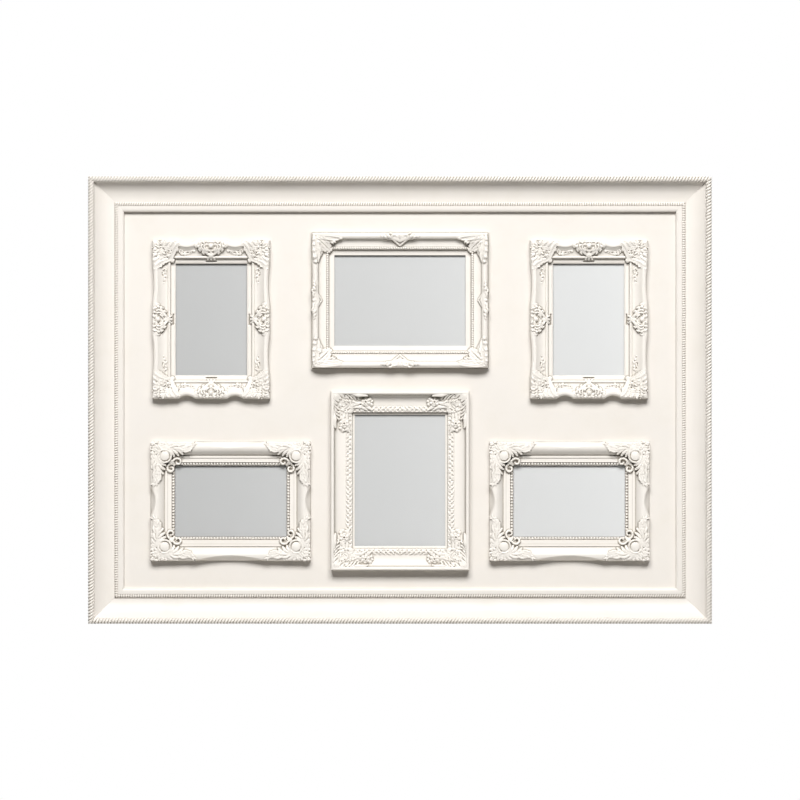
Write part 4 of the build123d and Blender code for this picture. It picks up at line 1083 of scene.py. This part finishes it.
CASTINGS = {
    "swept": {
        "places": ("top_left", "top_right"), "border": 30.6, "runs": SWEPT_RUNS, "beads": SWEPT_BEADS,
        "breaks": (24.0,), "end_zones": ((0, 78),), "side_zones": ((0, 58), (81, 104)),
        "carve": carve_swept, "pearls": None,
    },
    "beaded": {
        "places": ("top_centre",), "border": 30.9, "runs": BEADED_RUNS, "beads": BEADED_BEADS,
        "breaks": (2.1, 10.1, 23.5), "end_zones": ((0, 46), (91, 117)), "side_zones": ((0, 46), (64, 91)),
        "carve": carve_beaded, "pearls": BEADED_PEARLS,
    },
    "rosette": {
        "places": ("bottom_left", "bottom_right"), "border": 31.6, "runs": ROSETTE_RUNS, "beads": [],
        "breaks": (19.0, 21.6, 27.4), "end_zones": ((0, 60),), "side_zones": ((0, 60),),
        "carve": carve_rosette, "pearls": ROSETTE_PEARLS,
    },
    "foliage": {
        "places": ("bottom_centre",), "border": 31.2, "runs": FOLIAGE_RUNS, "beads": FOLIAGE_BEADS,
        "breaks": (4.6, 27.6), "end_zones": ((0, 91),), "side_zones": ((0, 118),),
        "carve": carve_foliage, "pearls": None,
    },
}


def casting_quarter(kind, half, sizes):
    """Carved quarter of one kind of cast frame, with the shift of its grid that scallops its edge."""
    plan = CASTINGS[kind]
    cell, plain = sizes.cell / MM, sizes.plain_cell / MM
    across = inset_lines(plan["border"], plan["breaks"], half[0], plan["end_zones"], cell, plain)
    down = inset_lines(plan["border"], plan["breaks"], half[1], plan["side_zones"], cell, plain)
    on_across = moulding_height(across, plan["runs"], plan["beads"])
    on_down = moulding_height(down, plan["runs"], plan["beads"])
    a, b = across[:, None], down[None, :]
    height = np.where(a < b, on_across[:, None], on_down[None, :])
    if plan["pearls"]:
        place, radius, foot = plan["pearls"]
        row = np.abs(np.minimum(a, b) - place) < radius + PEARL_CLEARANCE
        height = np.where(row, foot - PEARL_SINK * radius, height)
    carving = Carving(across, down, height, half)
    plan["carve"](carving)
    shift = [np.zeros_like(height), np.zeros_like(height)]
    if kind == "swept":
        shift[1] = edge_arch(a, *SWEPT_SCALLOPS["end"]) * np.clip(1 - b / SCALLOP_FADE, 0, 1)
        shift[0] = edge_arch(b, *SWEPT_SCALLOPS["side"]) * np.clip(1 - a / SCALLOP_FADE, 0, 1)
    return carving, shift


def build_castings(kind, pitch=None):
    """Every cast frame of one kind, each in place of its solid."""
    plan = CASTINGS[kind]
    sizes = bpy.context.scene.collage_castings
    # The cream of the cast frames is painted lighter than that of the surround.
    paint = bpy.context.scene.collage_colours.lightened_casting_paint
    finish = painted_relief("cream_painted_casting", paint, CASTING_GLAZE_AND_SHADE)
    carving = None
    for place in plan["places"]:
        low, high = (np.array(corner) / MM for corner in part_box(f"cast_frame_{place}"))
        half = ((high[0] - low[0]) / 2, (high[2] - low[2]) / 2)
        centre = ((high[0] + low[0]) / 2, (high[2] + low[2]) / 2)
        if carving is None:
            carving, shift = casting_quarter(kind, half, sizes)
        shells = [frame_shell(centre, half, plan["border"], carving, shift)]
        if plan["pearls"]:
            shells.append(pearl_shells(centre, half, plan["pearls"], pitch / MM))
        points, faces, recess, crest = join_shells(*shells)
        name = f"carved_frame_{place}"
        mesh = make_mesh(name, points, faces, CASTING_SMOOTH_ANGLE, recess=recess, crest=crest)
        mesh.materials.append(finish)
        add_piece(name, mesh, [f"cast_frame_{place}"])


# Finishes: colours in linear light, grain in spots to a metre

PAINT_REACH = 0.4
BRUSH_MARKS = (140.0, 140.0, 900.0)
CLOUD_SHADE = (0.97, 0.965, 0.95)
# Painted highlight on crests: how much lighter than the paint they get, and how strongly
CREST_HIGHLIGHT = (1.12, 1.12, 1.11)
CREST_HIGHLIGHT_SHARE = 0.45
RUBBED_POLISH = 0.06
GLAZE_ROUGHNESS = 0.25
SCRATCHES = (2600.0, 500.0, 160.0)
SMEARS = (30.0, 30.0, 60.0)
GLASS_TINT = (0.97, 0.99, 0.98)
CARD_SPECKLE = (0.3, 0.3, 0.3)
CARD_REFLECTION_SPAN = 0.7
FIBREBOARD_GRAIN = (380.0, 380.0, 380.0)
LYING_GRAIN = (25.0, 500.0, 500.0)
UPRIGHT_GRAIN = (500.0, 500.0, 25.0)
HARDBOARD_GRAIN = (900.0, 900.0, 900.0)
BRASS_TARNISH = (0.22, 0.13, 0.05)
ZINC_TARNISH = (0.24, 0.25, 0.27)


class NodeTree:
    """Shorthand for adding and joining shader nodes."""

    def __init__(self, tree):
        self.tree = tree

    def add(self, kind, inputs=None, **settings):
        """New node with its settings, and its inputs set or joined by name or number."""
        node = self.tree.nodes.new(kind)
        for name, value in settings.items():
            setattr(node, name, value)
        for name, value in (inputs or {}).items():
            self.feed(node.inputs[name], value)
        return node

    def feed(self, socket, value):
        """Join an output to a socket, or set its plain value."""
        if isinstance(value, bpy.types.NodeSocket):
            self.tree.links.new(value, socket)
        elif hasattr(value, "__len__") and len(value) == 3 and socket.type == "RGBA":
            socket.default_value = (*value, 1.0)
        else:
            socket.default_value = value

    def math(self, operation, first, second=0.5, clamp=False):
        """Value worked out from one or two values."""
        node = self.add("ShaderNodeMath", {0: first, 1: second}, operation=operation, use_clamp=clamp)
        return node.outputs[0]

    def mix(self, share, first, second, blend="MIX"):
        """Colour between two colours."""
        node = self.add("ShaderNodeMix", {0: share, 6: first, 7: second}, data_type="RGBA", blend_type=blend)
        return node.outputs[2]

    def noise(self, vector, scale, detail=3.0, roughness=0.55):
        """Cloudy value of about the given number of spots in a metre."""
        inputs = {"Vector": vector, "Scale": scale, "Detail": detail, "Roughness": roughness}
        return self.add("ShaderNodeTexNoise", inputs).outputs["Fac"]

    def spread(self, value, low, high, to=(0.0, 1.0)):
        """Value carried from one span to another, kept within it."""
        inputs = {"Value": value, "From Min": low, "From Max": high, "To Min": to[0], "To Max": to[1]}
        return self.add("ShaderNodeMapRange", inputs, clamp=True).outputs[0]

    def place(self, scale=(1.0, 1.0, 1.0)):
        """Object coordinates, stretched along the axes."""
        source = self.add("ShaderNodeTexCoord").outputs["Object"]
        return self.add("ShaderNodeMapping", {"Vector": source, "Scale": scale}).outputs[0]

    def bump(self, height, strength, distance):
        """Normal roughened by a height."""
        inputs = {"Height": height, "Strength": strength, "Distance": distance}
        return self.add("ShaderNodeBump", inputs).outputs[0]


def brushed_paint(tree, given, result):
    """Satin paint: cloudy tint, brush marks as height, a brown glaze with painted shade in the recesses and a
    painted highlight on the crests.
    """
    place = tree.place()
    cloud = tree.noise(place, 28.0)
    grain = tree.noise(place, 900.0, detail=2.0)
    brush = tree.noise(tree.place(BRUSH_MARKS), 1.0, detail=2.0)
    shade = tree.mix(tree.spread(cloud, 0.3, 0.7), given["Paint"], CLOUD_SHADE, "MULTIPLY")
    tinted = tree.mix(tree.spread(cloud, 0.25, 0.75), given["Paint"], shade)
    # Painted shade: recesses are darkened towards the glaze colour. Part of this is a brown glaze and part is
    # painted shade.
    patchy = tree.math("MULTIPLY", given["Recess"], tree.spread(grain, 0.25, 0.6, to=(0.65, 1.0)))
    glazed_and_shaded = tree.mix(tree.math("MULTIPLY", patchy, given["Glaze And Shade Depth"], True), tinted, given["Glaze And Shade"])
    # Painted highlight: crests are lightened beyond the paint's own colour.
    crest_highlight = tree.mix(1.0, given["Paint"], CREST_HIGHLIGHT, "MULTIPLY")
    rubbed = tree.mix(tree.math("MULTIPLY", given["Crest"], CREST_HIGHLIGHT_SHARE), glazed_and_shaded, crest_highlight)
    tree.feed(result["Color"], rubbed)
    satin = tree.spread(cloud, 0.3, 0.7, to=(0.4, 0.5))
    rough = tree.math("ADD", satin, tree.math("MULTIPLY", patchy, GLAZE_ROUGHNESS))
    polish = tree.math("MULTIPLY", given["Crest"], RUBBED_POLISH)
    tree.feed(result["Roughness"], tree.math("SUBTRACT", rough, polish))
    marks = tree.math("ADD", tree.math("MULTIPLY", grain, 0.4), tree.math("MULTIPLY", brush, 0.6))
    tree.feed(result["Height"], marks)


def worn_metal(tree, given, result):
    """Plated metal: fine scratches, cloudy tarnish and a height for the scratches."""
    cloud = tree.noise(tree.place(), 260.0, detail=4.0, roughness=0.65)
    scratch = tree.noise(tree.place(SCRATCHES), 1.0, detail=2.0)
    stained = tree.mix(tree.spread(cloud, 0.5, 0.85, to=(0.0, 0.6)), given["Metal"], given["Tarnish"])
    rubbed = tree.spread(scratch, 0.35, 0.7, to=(0.0, 0.25))
    tree.feed(result["Color"], tree.mix(rubbed, stained, given["Metal"]))
    tree.feed(result["Roughness"], tree.spread(tree.math("ADD", cloud, scratch), 0.6, 1.4, to=(0.22, 0.5)))
    tree.feed(result["Height"], scratch)


def wood_fibre(tree, given, result):
    """Pressed or sawn wood: stretched fibres over a cloudy tone."""
    fibre = tree.noise(given["Fibre"], 1.0, detail=5.0, roughness=0.65)
    cloud = tree.noise(tree.place(), 45.0)
    mask = tree.math("ADD", tree.math("MULTIPLY", fibre, 0.7), tree.math("MULTIPLY", cloud, 0.3))
    tree.feed(result["Color"], tree.mix(tree.spread(mask, 0.38, 0.66), given["Dark"], given["Tone"]))
    tree.feed(result["Roughness"], tree.spread(fibre, 0.3, 0.7, to=(0.6, 0.82)))
    tree.feed(result["Height"], fibre)


GROUPS = {
    brushed_paint: {
        "Paint": "Color", "Glaze And Shade": "Color", "Recess": "Float", "Crest": "Float", "Glaze And Shade Depth": "Float",
    },
    worn_metal: {"Metal": "Color", "Tarnish": "Color"},
    wood_fibre: {"Tone": "Color", "Dark": "Color", "Fibre": "Vector"},
}
GROUP_RESULTS = {"Color": "Color", "Roughness": "Float", "Height": "Float"}


def finish_group(wire):
    """Shader node group of one finish, made the first time it is asked for."""
    name = wire.__name__
    if name in bpy.data.node_groups:
        return bpy.data.node_groups[name]
    group = bpy.data.node_groups.new(name, "ShaderNodeTree")
    for way, sockets in (("INPUT", GROUPS[wire]), ("OUTPUT", GROUP_RESULTS)):
        for socket, kind in sockets.items():
            group.interface.new_socket(socket, in_out=way, socket_type=f"NodeSocket{kind}")
    tree = NodeTree(group)
    wire(tree, tree.add("NodeGroupInput").outputs, tree.add("NodeGroupOutput").inputs)
    return group


def darker(colour, share):
    """Colour dimmed to a share of its light."""
    return tuple(share * value for value in colour)


def new_material(name):
    """Material with one Principled shader, ready for its inputs."""
    material = bpy.data.materials.new(name)
    material.use_nodes = True
    shader = material.node_tree.nodes["Principled BSDF"]
    return material, NodeTree(material.node_tree), shader


def dress(tree, shader, wire, inputs, strength, distance):
    """Feed a finish group's colour, roughness and height to a shader."""
    node = tree.add("ShaderNodeGroup", node_tree=finish_group(wire))
    for name, value in inputs.items():
        tree.feed(node.inputs[name], value)
    tree.feed(shader.inputs["Base Color"], node.outputs["Color"])
    tree.feed(shader.inputs["Roughness"], node.outputs["Roughness"])
    tree.feed(shader.inputs["Normal"], tree.bump(node.outputs["Height"], strength, distance))
    return node


def painted_relief(name, paint, glaze_and_shade_depth):
    """Cream paint over carving, darkened with glaze and painted shade by how deep each point lies in its
    recess, with a painted highlight on its crests.
    """
    if name in bpy.data.materials:
        return bpy.data.materials[name]
    colours = bpy.context.scene.collage_colours
    material, tree, shader = new_material(name)
    inputs = {"Paint": paint, "Glaze And Shade": colours.glaze_and_shade, "Glaze And Shade Depth": glaze_and_shade_depth}
    for mark in ("Recess", "Crest"):
        inputs[mark] = tree.add("ShaderNodeAttribute", attribute_name=mark.lower()).outputs["Fac"]
    dress(tree, shader, brushed_paint, inputs, strength=0.12, distance=0.0002)
    shader.inputs["Specular IOR Level"].default_value = 0.4
    return material


def painted_panel():
    """Cream paint on the front of the panel and raw fibreboard on its back, told apart by depth."""
    colours = bpy.context.scene.collage_colours
    material, tree, shader = new_material("cream_painted_panel")
    inputs = {"Paint": colours.paint, "Glaze And Shade": colours.glaze_and_shade}
    paint = dress(tree, shader, brushed_paint, inputs, strength=0.1, distance=0.0002)
    board = tree.add("ShaderNodeGroup", node_tree=finish_group(wood_fibre))
    tree.feed(board.inputs["Tone"], colours.fibreboard)
    tree.feed(board.inputs["Dark"], darker(colours.fibreboard, 0.7))
    tree.feed(board.inputs["Fibre"], tree.place(FIBREBOARD_GRAIN))
    depth = tree.add("ShaderNodeSeparateXYZ", {0: tree.place()}).outputs["Y"]
    back = tree.math("GREATER_THAN", depth, -(PANEL_FRONT - PAINT_REACH) * MM)
    tree.feed(shader.inputs["Base Color"], tree.mix(back, paint.outputs["Color"], board.outputs["Color"]))
    rough = tree.add("ShaderNodeMix", {0: back, 2: paint.outputs["Roughness"], 3: board.outputs["Roughness"]})
    tree.feed(shader.inputs["Roughness"], rough.outputs[0])
    shader.inputs["Specular IOR Level"].default_value = 0.4
    return material


def fibre_material(name, tone, dark, stretch, strength):
    """Unpainted wood or board with its fibres stretched along the axes."""
    material, tree, shader = new_material(name)
    inputs = {"Tone": tone, "Dark": dark, "Fibre": tree.place(stretch)}
    dress(tree, shader, wood_fibre, inputs, strength, distance=0.0004)
    shader.inputs["Specular IOR Level"].default_value = 0.3
    return material


def metal_material(name, metal, tarnish):
    """Plated metal with scratches and tarnish."""
    material, tree, shader = new_material(name)
    inputs = {"Metal": metal, "Tarnish": tarnish}
    dress(tree, shader, worn_metal, inputs, strength=0.15, distance=0.0001)
    shader.inputs["Metallic"].default_value = 1.0
    return material


def card_material():
    """Matt grey card with a fine paper grain, painted lighter from the left of the frame to the right as a
    painted reflection.
    """
    colours = bpy.context.scene.collage_colours
    material, tree, shader = new_material("grey_insert_card")
    place = tree.place()
    across = tree.add("ShaderNodeSeparateXYZ", {0: place}).outputs["X"]
    half = (CAD_BOX[1].x - CAD_BOX[0].x) / 2
    # Painted reflection: the grey grades from the left colour to the right one across the frame.
    share = tree.spread(across, -CARD_REFLECTION_SPAN * half, CARD_REFLECTION_SPAN * half)
    grain = tree.noise(place, 1500.0, detail=2.0)
    tone = tree.mix(share, colours.card_left_painted_dim, colours.card_right_painted_bright)
    speckled = tree.mix(tree.spread(grain, 0.3, 0.7, to=(0.0, 0.04)), tone, CARD_SPECKLE)
    tree.feed(shader.inputs["Base Color"], speckled)
    tree.feed(shader.inputs["Roughness"], tree.spread(grain, 0.3, 0.7, to=(0.75, 0.9)))
    tree.feed(shader.inputs["Normal"], tree.bump(grain, strength=0.05, distance=0.0001))
    shader.inputs["Specular IOR Level"].default_value = 0.2
    return material


def glass_material():
    """Clear picture glass with a trace of smears; light goes straight through it to the card behind."""
    material, tree, shader = new_material("clear_picture_glass")
    smear = tree.noise(tree.place(SMEARS), 1.0, detail=4.0)
    tree.feed(shader.inputs["Roughness"], tree.spread(smear, 0.45, 0.75, to=(0.0, 0.05)))
    shader.inputs["Base Color"].default_value = (*GLASS_TINT, 1.0)
    shader.inputs["Transmission Weight"].default_value = 1.0
    shader.inputs["IOR"].default_value = 1.46
    rays = tree.add("ShaderNodeLightPath").outputs
    straight = tree.math("MAXIMUM", rays["Is Shadow Ray"], rays["Is Diffuse Ray"])
    clear = tree.add("ShaderNodeBsdfTransparent")
    mixed = tree.add("ShaderNodeMixShader", {0: straight, 1: shader.outputs[0], 2: clear.outputs[0]})
    tree.feed(material.node_tree.nodes["Material Output"].inputs["Surface"], mixed.outputs[0])
    return material


def finish_nodes(names, material):
    """Give CAD nodes one material."""
    for name in names:
        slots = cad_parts[name].data.materials
        slots.clear()
        slots.append(material)


# Operators

KEY_LIGHT_ASPECT = 1.8
TOP_LIGHT_ANGLE = math.radians(52.0)
TOP_LIGHT_SIZE = (5.0, 4.0)
BACK_LIGHT_ANGLE = math.radians(150.0)
BACK_LIGHT_SIZE = (6.0, 3.0)
SIDE_LIGHT_ANGLE = math.radians(25.0)
SIDE_LIGHT_TURN = math.radians(135.0)
SIDE_LIGHT_SIZE = (3.0, 3.0)
FLOOR_RADIUS = 2.2
FLOOR_POINTS = 64
CAMERA_REACH = 100.0
ZINC_NODES = ("corner_nails", "panel_points", "cast_frame_screws", "keyhole_plate")


class FRAME_OT_surround(bpy.types.Operator):
    """Four mitred rails, each with its rope, its small bead and a bare wooden back."""

    bl_idname = "collage_frame.surround"
    bl_label = "Surround"
    bl_options = {"REGISTER", "UNDO"}

    def execute(self, context):
        """Make the four rails, then their ropes and beads."""
        sizes = context.scene.collage_surround
        colours = context.scene.collage_colours
        paint = painted_relief("cream_painted_moulding", colours.paint, MOULDING_GLAZE_AND_SHADE)
        dark = darker(colours.bare_wood, 0.6)
        grains = [
            fibre_material("bare_wood_lying", colours.bare_wood, dark, LYING_GRAIN, strength=0.25),
            fibre_material("bare_wood_upright", colours.bare_wood, dark, UPRIGHT_GRAIN, strength=0.25),
        ]
        gap = sizes.mitre_gap / MM
        rope = (ROPE_TUBE, RAIL_DEPTH - ROPE_TUBE)
        bead = (COVE_END + BEAD_RADIUS, COVE_FLOOR + BEAD_RISE)
        for node, turn in RAIL_TURNS.items():
            wood = grains[turn % 2]
            side = node.split("_")[0]
            name = f"{side}_moulding"
            body = add_piece(name, moulding_mesh(name, turn, gap), [node])
            mark_bare_back(body.data, paint, wood)
            if node == "top_rail":
                for hanger in ("left", "right"):
                    cut_keyhole_recess(body, hanger, wood)
            for name, centre, radius, pitch, groove, strands in (
                (f"{side}_rope", rope, ROPE_TUBE, sizes.rope_pitch / MM, sizes.rope_groove, ROPE_STRANDS),
                (f"{side}_bead", bead, BEAD_RADIUS, sizes.bead_pitch / MM, sizes.bead_groove, BEAD_STRANDS),
            ):
                twist = strands if turn % 2 == 0 else -strands
                mesh = rope_mesh(name, turn, gap, centre, radius, pitch, groove, twist)
                mesh.materials.append(paint)
                add_piece(name, mesh)
        return {"FINISHED"}


class FRAME_OT_swept_castings(bpy.types.Operator):
    """Two upright cast frames with shell corners and palmettes."""

    bl_idname = "collage_frame.swept_castings"
    bl_label = "Swept Cast Frames"
    bl_options = {"REGISTER", "UNDO"}

    def execute(self, context):
        """Carve a quarter and build both frames from it."""
        build_castings("swept")
        return {"FINISHED"}


class FRAME_OT_beaded_casting(bpy.types.Operator):
    """Lying cast frame with a fine row of pearls, leaf corners and hearts."""

    bl_idname = "collage_frame.beaded_casting"
    bl_label = "Beaded Cast Frame"
    bl_options = {"REGISTER", "UNDO"}

    def execute(self, context):
        """Carve a quarter and build the frame from it."""
        build_castings("beaded", context.scene.collage_castings.fine_pearl_pitch)
        return {"FINISHED"}


class FRAME_OT_rosette_castings(bpy.types.Operator):
    """Two lying cast frames with rosette corners and a row of pearls."""

    bl_idname = "collage_frame.rosette_castings"
    bl_label = "Rosette Cast Frames"
    bl_options = {"REGISTER", "UNDO"}

    def execute(self, context):
        """Carve a quarter and build both frames from it."""
        build_castings("rosette", context.scene.collage_castings.pearl_pitch)
        return {"FINISHED"}


class FRAME_OT_foliage_casting(bpy.types.Operator):
    """Upright cast frame with flowered corners and a band of running leaves."""

    bl_idname = "collage_frame.foliage_casting"
    bl_label = "Foliage Cast Frame"
    bl_options = {"REGISTER", "UNDO"}

    def execute(self, context):
        """Carve a quarter and build the frame from it."""
        build_castings("foliage")
        return {"FINISHED"}


class FRAME_OT_panel(bpy.types.Operator):
    """Painted panel that carries the cast frames."""

    bl_idname = "collage_frame.panel"
    bl_label = "Panel"
    bl_options = {"REGISTER", "UNDO"}

    def execute(self, context):
        """Paint the solid panel."""
        finish_nodes(["panel"], painted_panel())
        return {"FINISHED"}


class FRAME_OT_glazing(bpy.types.Operator):
    """Glass, insert card and backing board of each window."""

    bl_idname = "collage_frame.glazing"
    bl_label = "Glazing and Boards"
    bl_options = {"REGISTER", "UNDO"}

    def execute(self, context):
        """Give glass, cards and boards their materials."""
        brown = context.scene.collage_colours.hardboard
        dark = darker(brown, 0.6)
        board = fibre_material("brown_hardboard", brown, dark, HARDBOARD_GRAIN, strength=0.3)
        finish_nodes([f"glass_{place}" for place in PLACES], glass_material())
        finish_nodes([f"insert_card_{place}" for place in PLACES], card_material())
        finish_nodes([f"backing_board_{place}" for place in PLACES], board)
        return {"FINISHED"}


class FRAME_OT_hardware(bpy.types.Operator):
    """Brass turn buttons and screws, and zinc-plated nails, points, screws and keyhole plates."""

    bl_idname = "collage_frame.hardware"
    bl_label = "Hardware"
    bl_options = {"REGISTER", "UNDO"}

    def execute(self, context):
        """Give the metal pieces their materials."""
        colours = context.scene.collage_colours
        brass = metal_material("brass_plate", colours.brass, BRASS_TARNISH)
        zinc = metal_material("zinc_plate", colours.zinc, ZINC_TARNISH)
        names = sorted(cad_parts)
        finish_nodes([name for name in names if name.startswith("turn_button")], brass)
        finish_nodes([name for name in names if name.startswith(ZINC_NODES)], zinc)
        return {"FINISHED"}


class FRAME_OT_stage(bpy.types.Operator):
    """Pale floor, white surround, soft lights on all sides, and the camera square to the panel."""

    bl_idname = "collage_frame.stage"
    bl_label = "Stage"
    bl_options = {"REGISTER", "UNDO"}

    def execute(self, context):
        """Set up floor, surround, lights and camera."""
        scene = context.scene
        settings = scene.collage_stage
        scene.view_settings.view_transform = "Standard"
        self.make_floor(scene, settings)
        self.make_world(scene, settings)
        size = (KEY_LIGHT_ASPECT * settings.key_size, settings.key_size)
        self.make_light(scene, "key_light", settings.key_angle, size, settings.key_power)
        self.make_light(scene, "top_light", TOP_LIGHT_ANGLE, TOP_LIGHT_SIZE, settings.top_power)
        self.make_light(scene, "back_light", BACK_LIGHT_ANGLE, BACK_LIGHT_SIZE, settings.back_power)
        for name, turn in (("right_light", SIDE_LIGHT_TURN), ("left_light", -SIDE_LIGHT_TURN)):
            self.make_light(scene, name, SIDE_LIGHT_ANGLE, SIDE_LIGHT_SIZE, settings.side_power, turn)
        camera = bpy.data.objects.new("camera", bpy.data.cameras.new("camera"))
        camera.data.lens = settings.lens
        distance = settings.picture_width * settings.lens / camera.data.sensor_width
        camera.location = (MIDDLE_X * MM, -(RAIL_DEPTH - ROPE_RADIUS) * MM - distance, MIDDLE_Z * MM)
        camera.rotation_euler = (math.pi / 2, 0, 0)
        camera.data.clip_end = CAMERA_REACH
        scene.collection.objects.link(camera)
        scene.camera = camera
        return {"FINISHED"}

    def make_light(self, scene, name, angle, size, power, turn=0.0):
        """Soft box that faces the middle of the panel, raised by one angle and turned round it by another."""
        lamp = bpy.data.lights.new(name, "AREA")
        lamp.shape = "RECTANGLE"
        lamp.size, lamp.size_y = size
        lamp.energy = power
        light = bpy.data.objects.new(name, lamp)
        reach = scene.collage_stage.light_distance
        middle = np.array([MIDDLE_X * MM, -PANEL_FRONT * MM, MIDDLE_Z * MM])
        level = math.cos(angle)
        way = np.array([level * math.sin(turn), -level * math.cos(turn), math.sin(angle)])
        light.location = middle + reach * way
        light.rotation_euler = (math.pi / 2 - angle, 0, turn)
        scene.collection.objects.link(light)

    def make_floor(self, scene, settings):
        """Round pale floor some way below the frame."""
        turn = np.linspace(0, 2 * math.pi, FLOOR_POINTS, endpoint=False)
        level = np.full(FLOOR_POINTS, CAD_BOX[0].z - settings.floor_drop)
        ring = np.stack([FLOOR_RADIUS * np.cos(turn), FLOOR_RADIUS * np.sin(turn), level], axis=1) / MM
        mesh = make_mesh("studio_floor", ring, [np.arange(FLOOR_POINTS)[None, :]])
        material, tree, shader = new_material("pale_floor")
        cloud = tree.noise(tree.place(), 6.0)
        colour = scene.collage_colours.floor
        tree.feed(shader.inputs["Base Color"], tree.mix(cloud, colour, darker(colour, 0.96)))
        tree.feed(shader.inputs["Roughness"], tree.spread(cloud, 0.3, 0.7, to=(0.5, 0.65)))
        mesh.materials.append(material)
        floor = bpy.data.objects.new("studio_floor", mesh)
        scene.collection.objects.link(floor)

    def make_world(self, scene, settings):
        """White to the camera, and an even fill light to everything else."""
        world = bpy.data.worlds.new("studio")
        world.use_nodes = True
        scene.world = world
        tree = NodeTree(world.node_tree)
        world.node_tree.nodes.clear()
        seen = tree.add("ShaderNodeBackground", {"Color": (1.0, 1.0, 1.0), "Strength": 1.0})
        light = tree.add("ShaderNodeBackground", {"Color": (1.0, 1.0, 1.0), "Strength": settings.fill})
        camera_ray = tree.add("ShaderNodeLightPath").outputs["Is Camera Ray"]
        mixed = tree.add("ShaderNodeMixShader", {0: camera_ray, 1: light.outputs[0], 2: seen.outputs[0]})
        tree.add("ShaderNodeOutputWorld", {"Surface": mixed.outputs[0]})


OPERATORS = (
    FRAME_OT_surround, FRAME_OT_swept_castings, FRAME_OT_beaded_casting, FRAME_OT_rosette_castings,
    FRAME_OT_foliage_casting, FRAME_OT_panel, FRAME_OT_glazing, FRAME_OT_hardware, FRAME_OT_stage,
)
SETTINGS = {
    "collage_surround": SurroundSizes, "collage_castings": CastingSizes,
    "collage_colours": FinishColours, "collage_stage": StageSettings,
}


class FRAME_PT_making(bpy.types.Panel):
    """Sizes, colours and the steps of the frame's making."""

    bl_idname = "FRAME_PT_making"
    bl_label = "Collage Frame"
    bl_space_type = "VIEW_3D"
    bl_region_type = "UI"
    bl_category = "Collage Frame"

    def draw(self, context):
        """List the settings and the operators in order."""
        for name, group in SETTINGS.items():
            box = self.layout.box()
            for setting in group.__annotations__:
                box.prop(getattr(context.scene, name), setting)
        for operator in OPERATORS:
            self.layout.operator(operator.bl_idname)


def register():
    """Add the settings, the operators and the panel."""
    for name, group in SETTINGS.items():
        bpy.utils.register_class(group)
        setattr(bpy.types.Scene, name, bpy.props.PointerProperty(type=group))
    for made in (*OPERATORS, FRAME_PT_making):
        bpy.utils.register_class(made)


def unregister():
    """Take them away again."""
    for made in (FRAME_PT_making, *reversed(OPERATORS)):
        bpy.utils.unregister_class(made)
    for name, group in SETTINGS.items():
        delattr(bpy.types.Scene, name)
        bpy.utils.unregister_class(group)


def main():
    """Make every piece and the stage in order."""
    register()
    for operator in OPERATORS:
        group, step = operator.bl_idname.split(".")
        getattr(getattr(bpy.ops, group), step)()


if __name__ == "__main__":
    main()
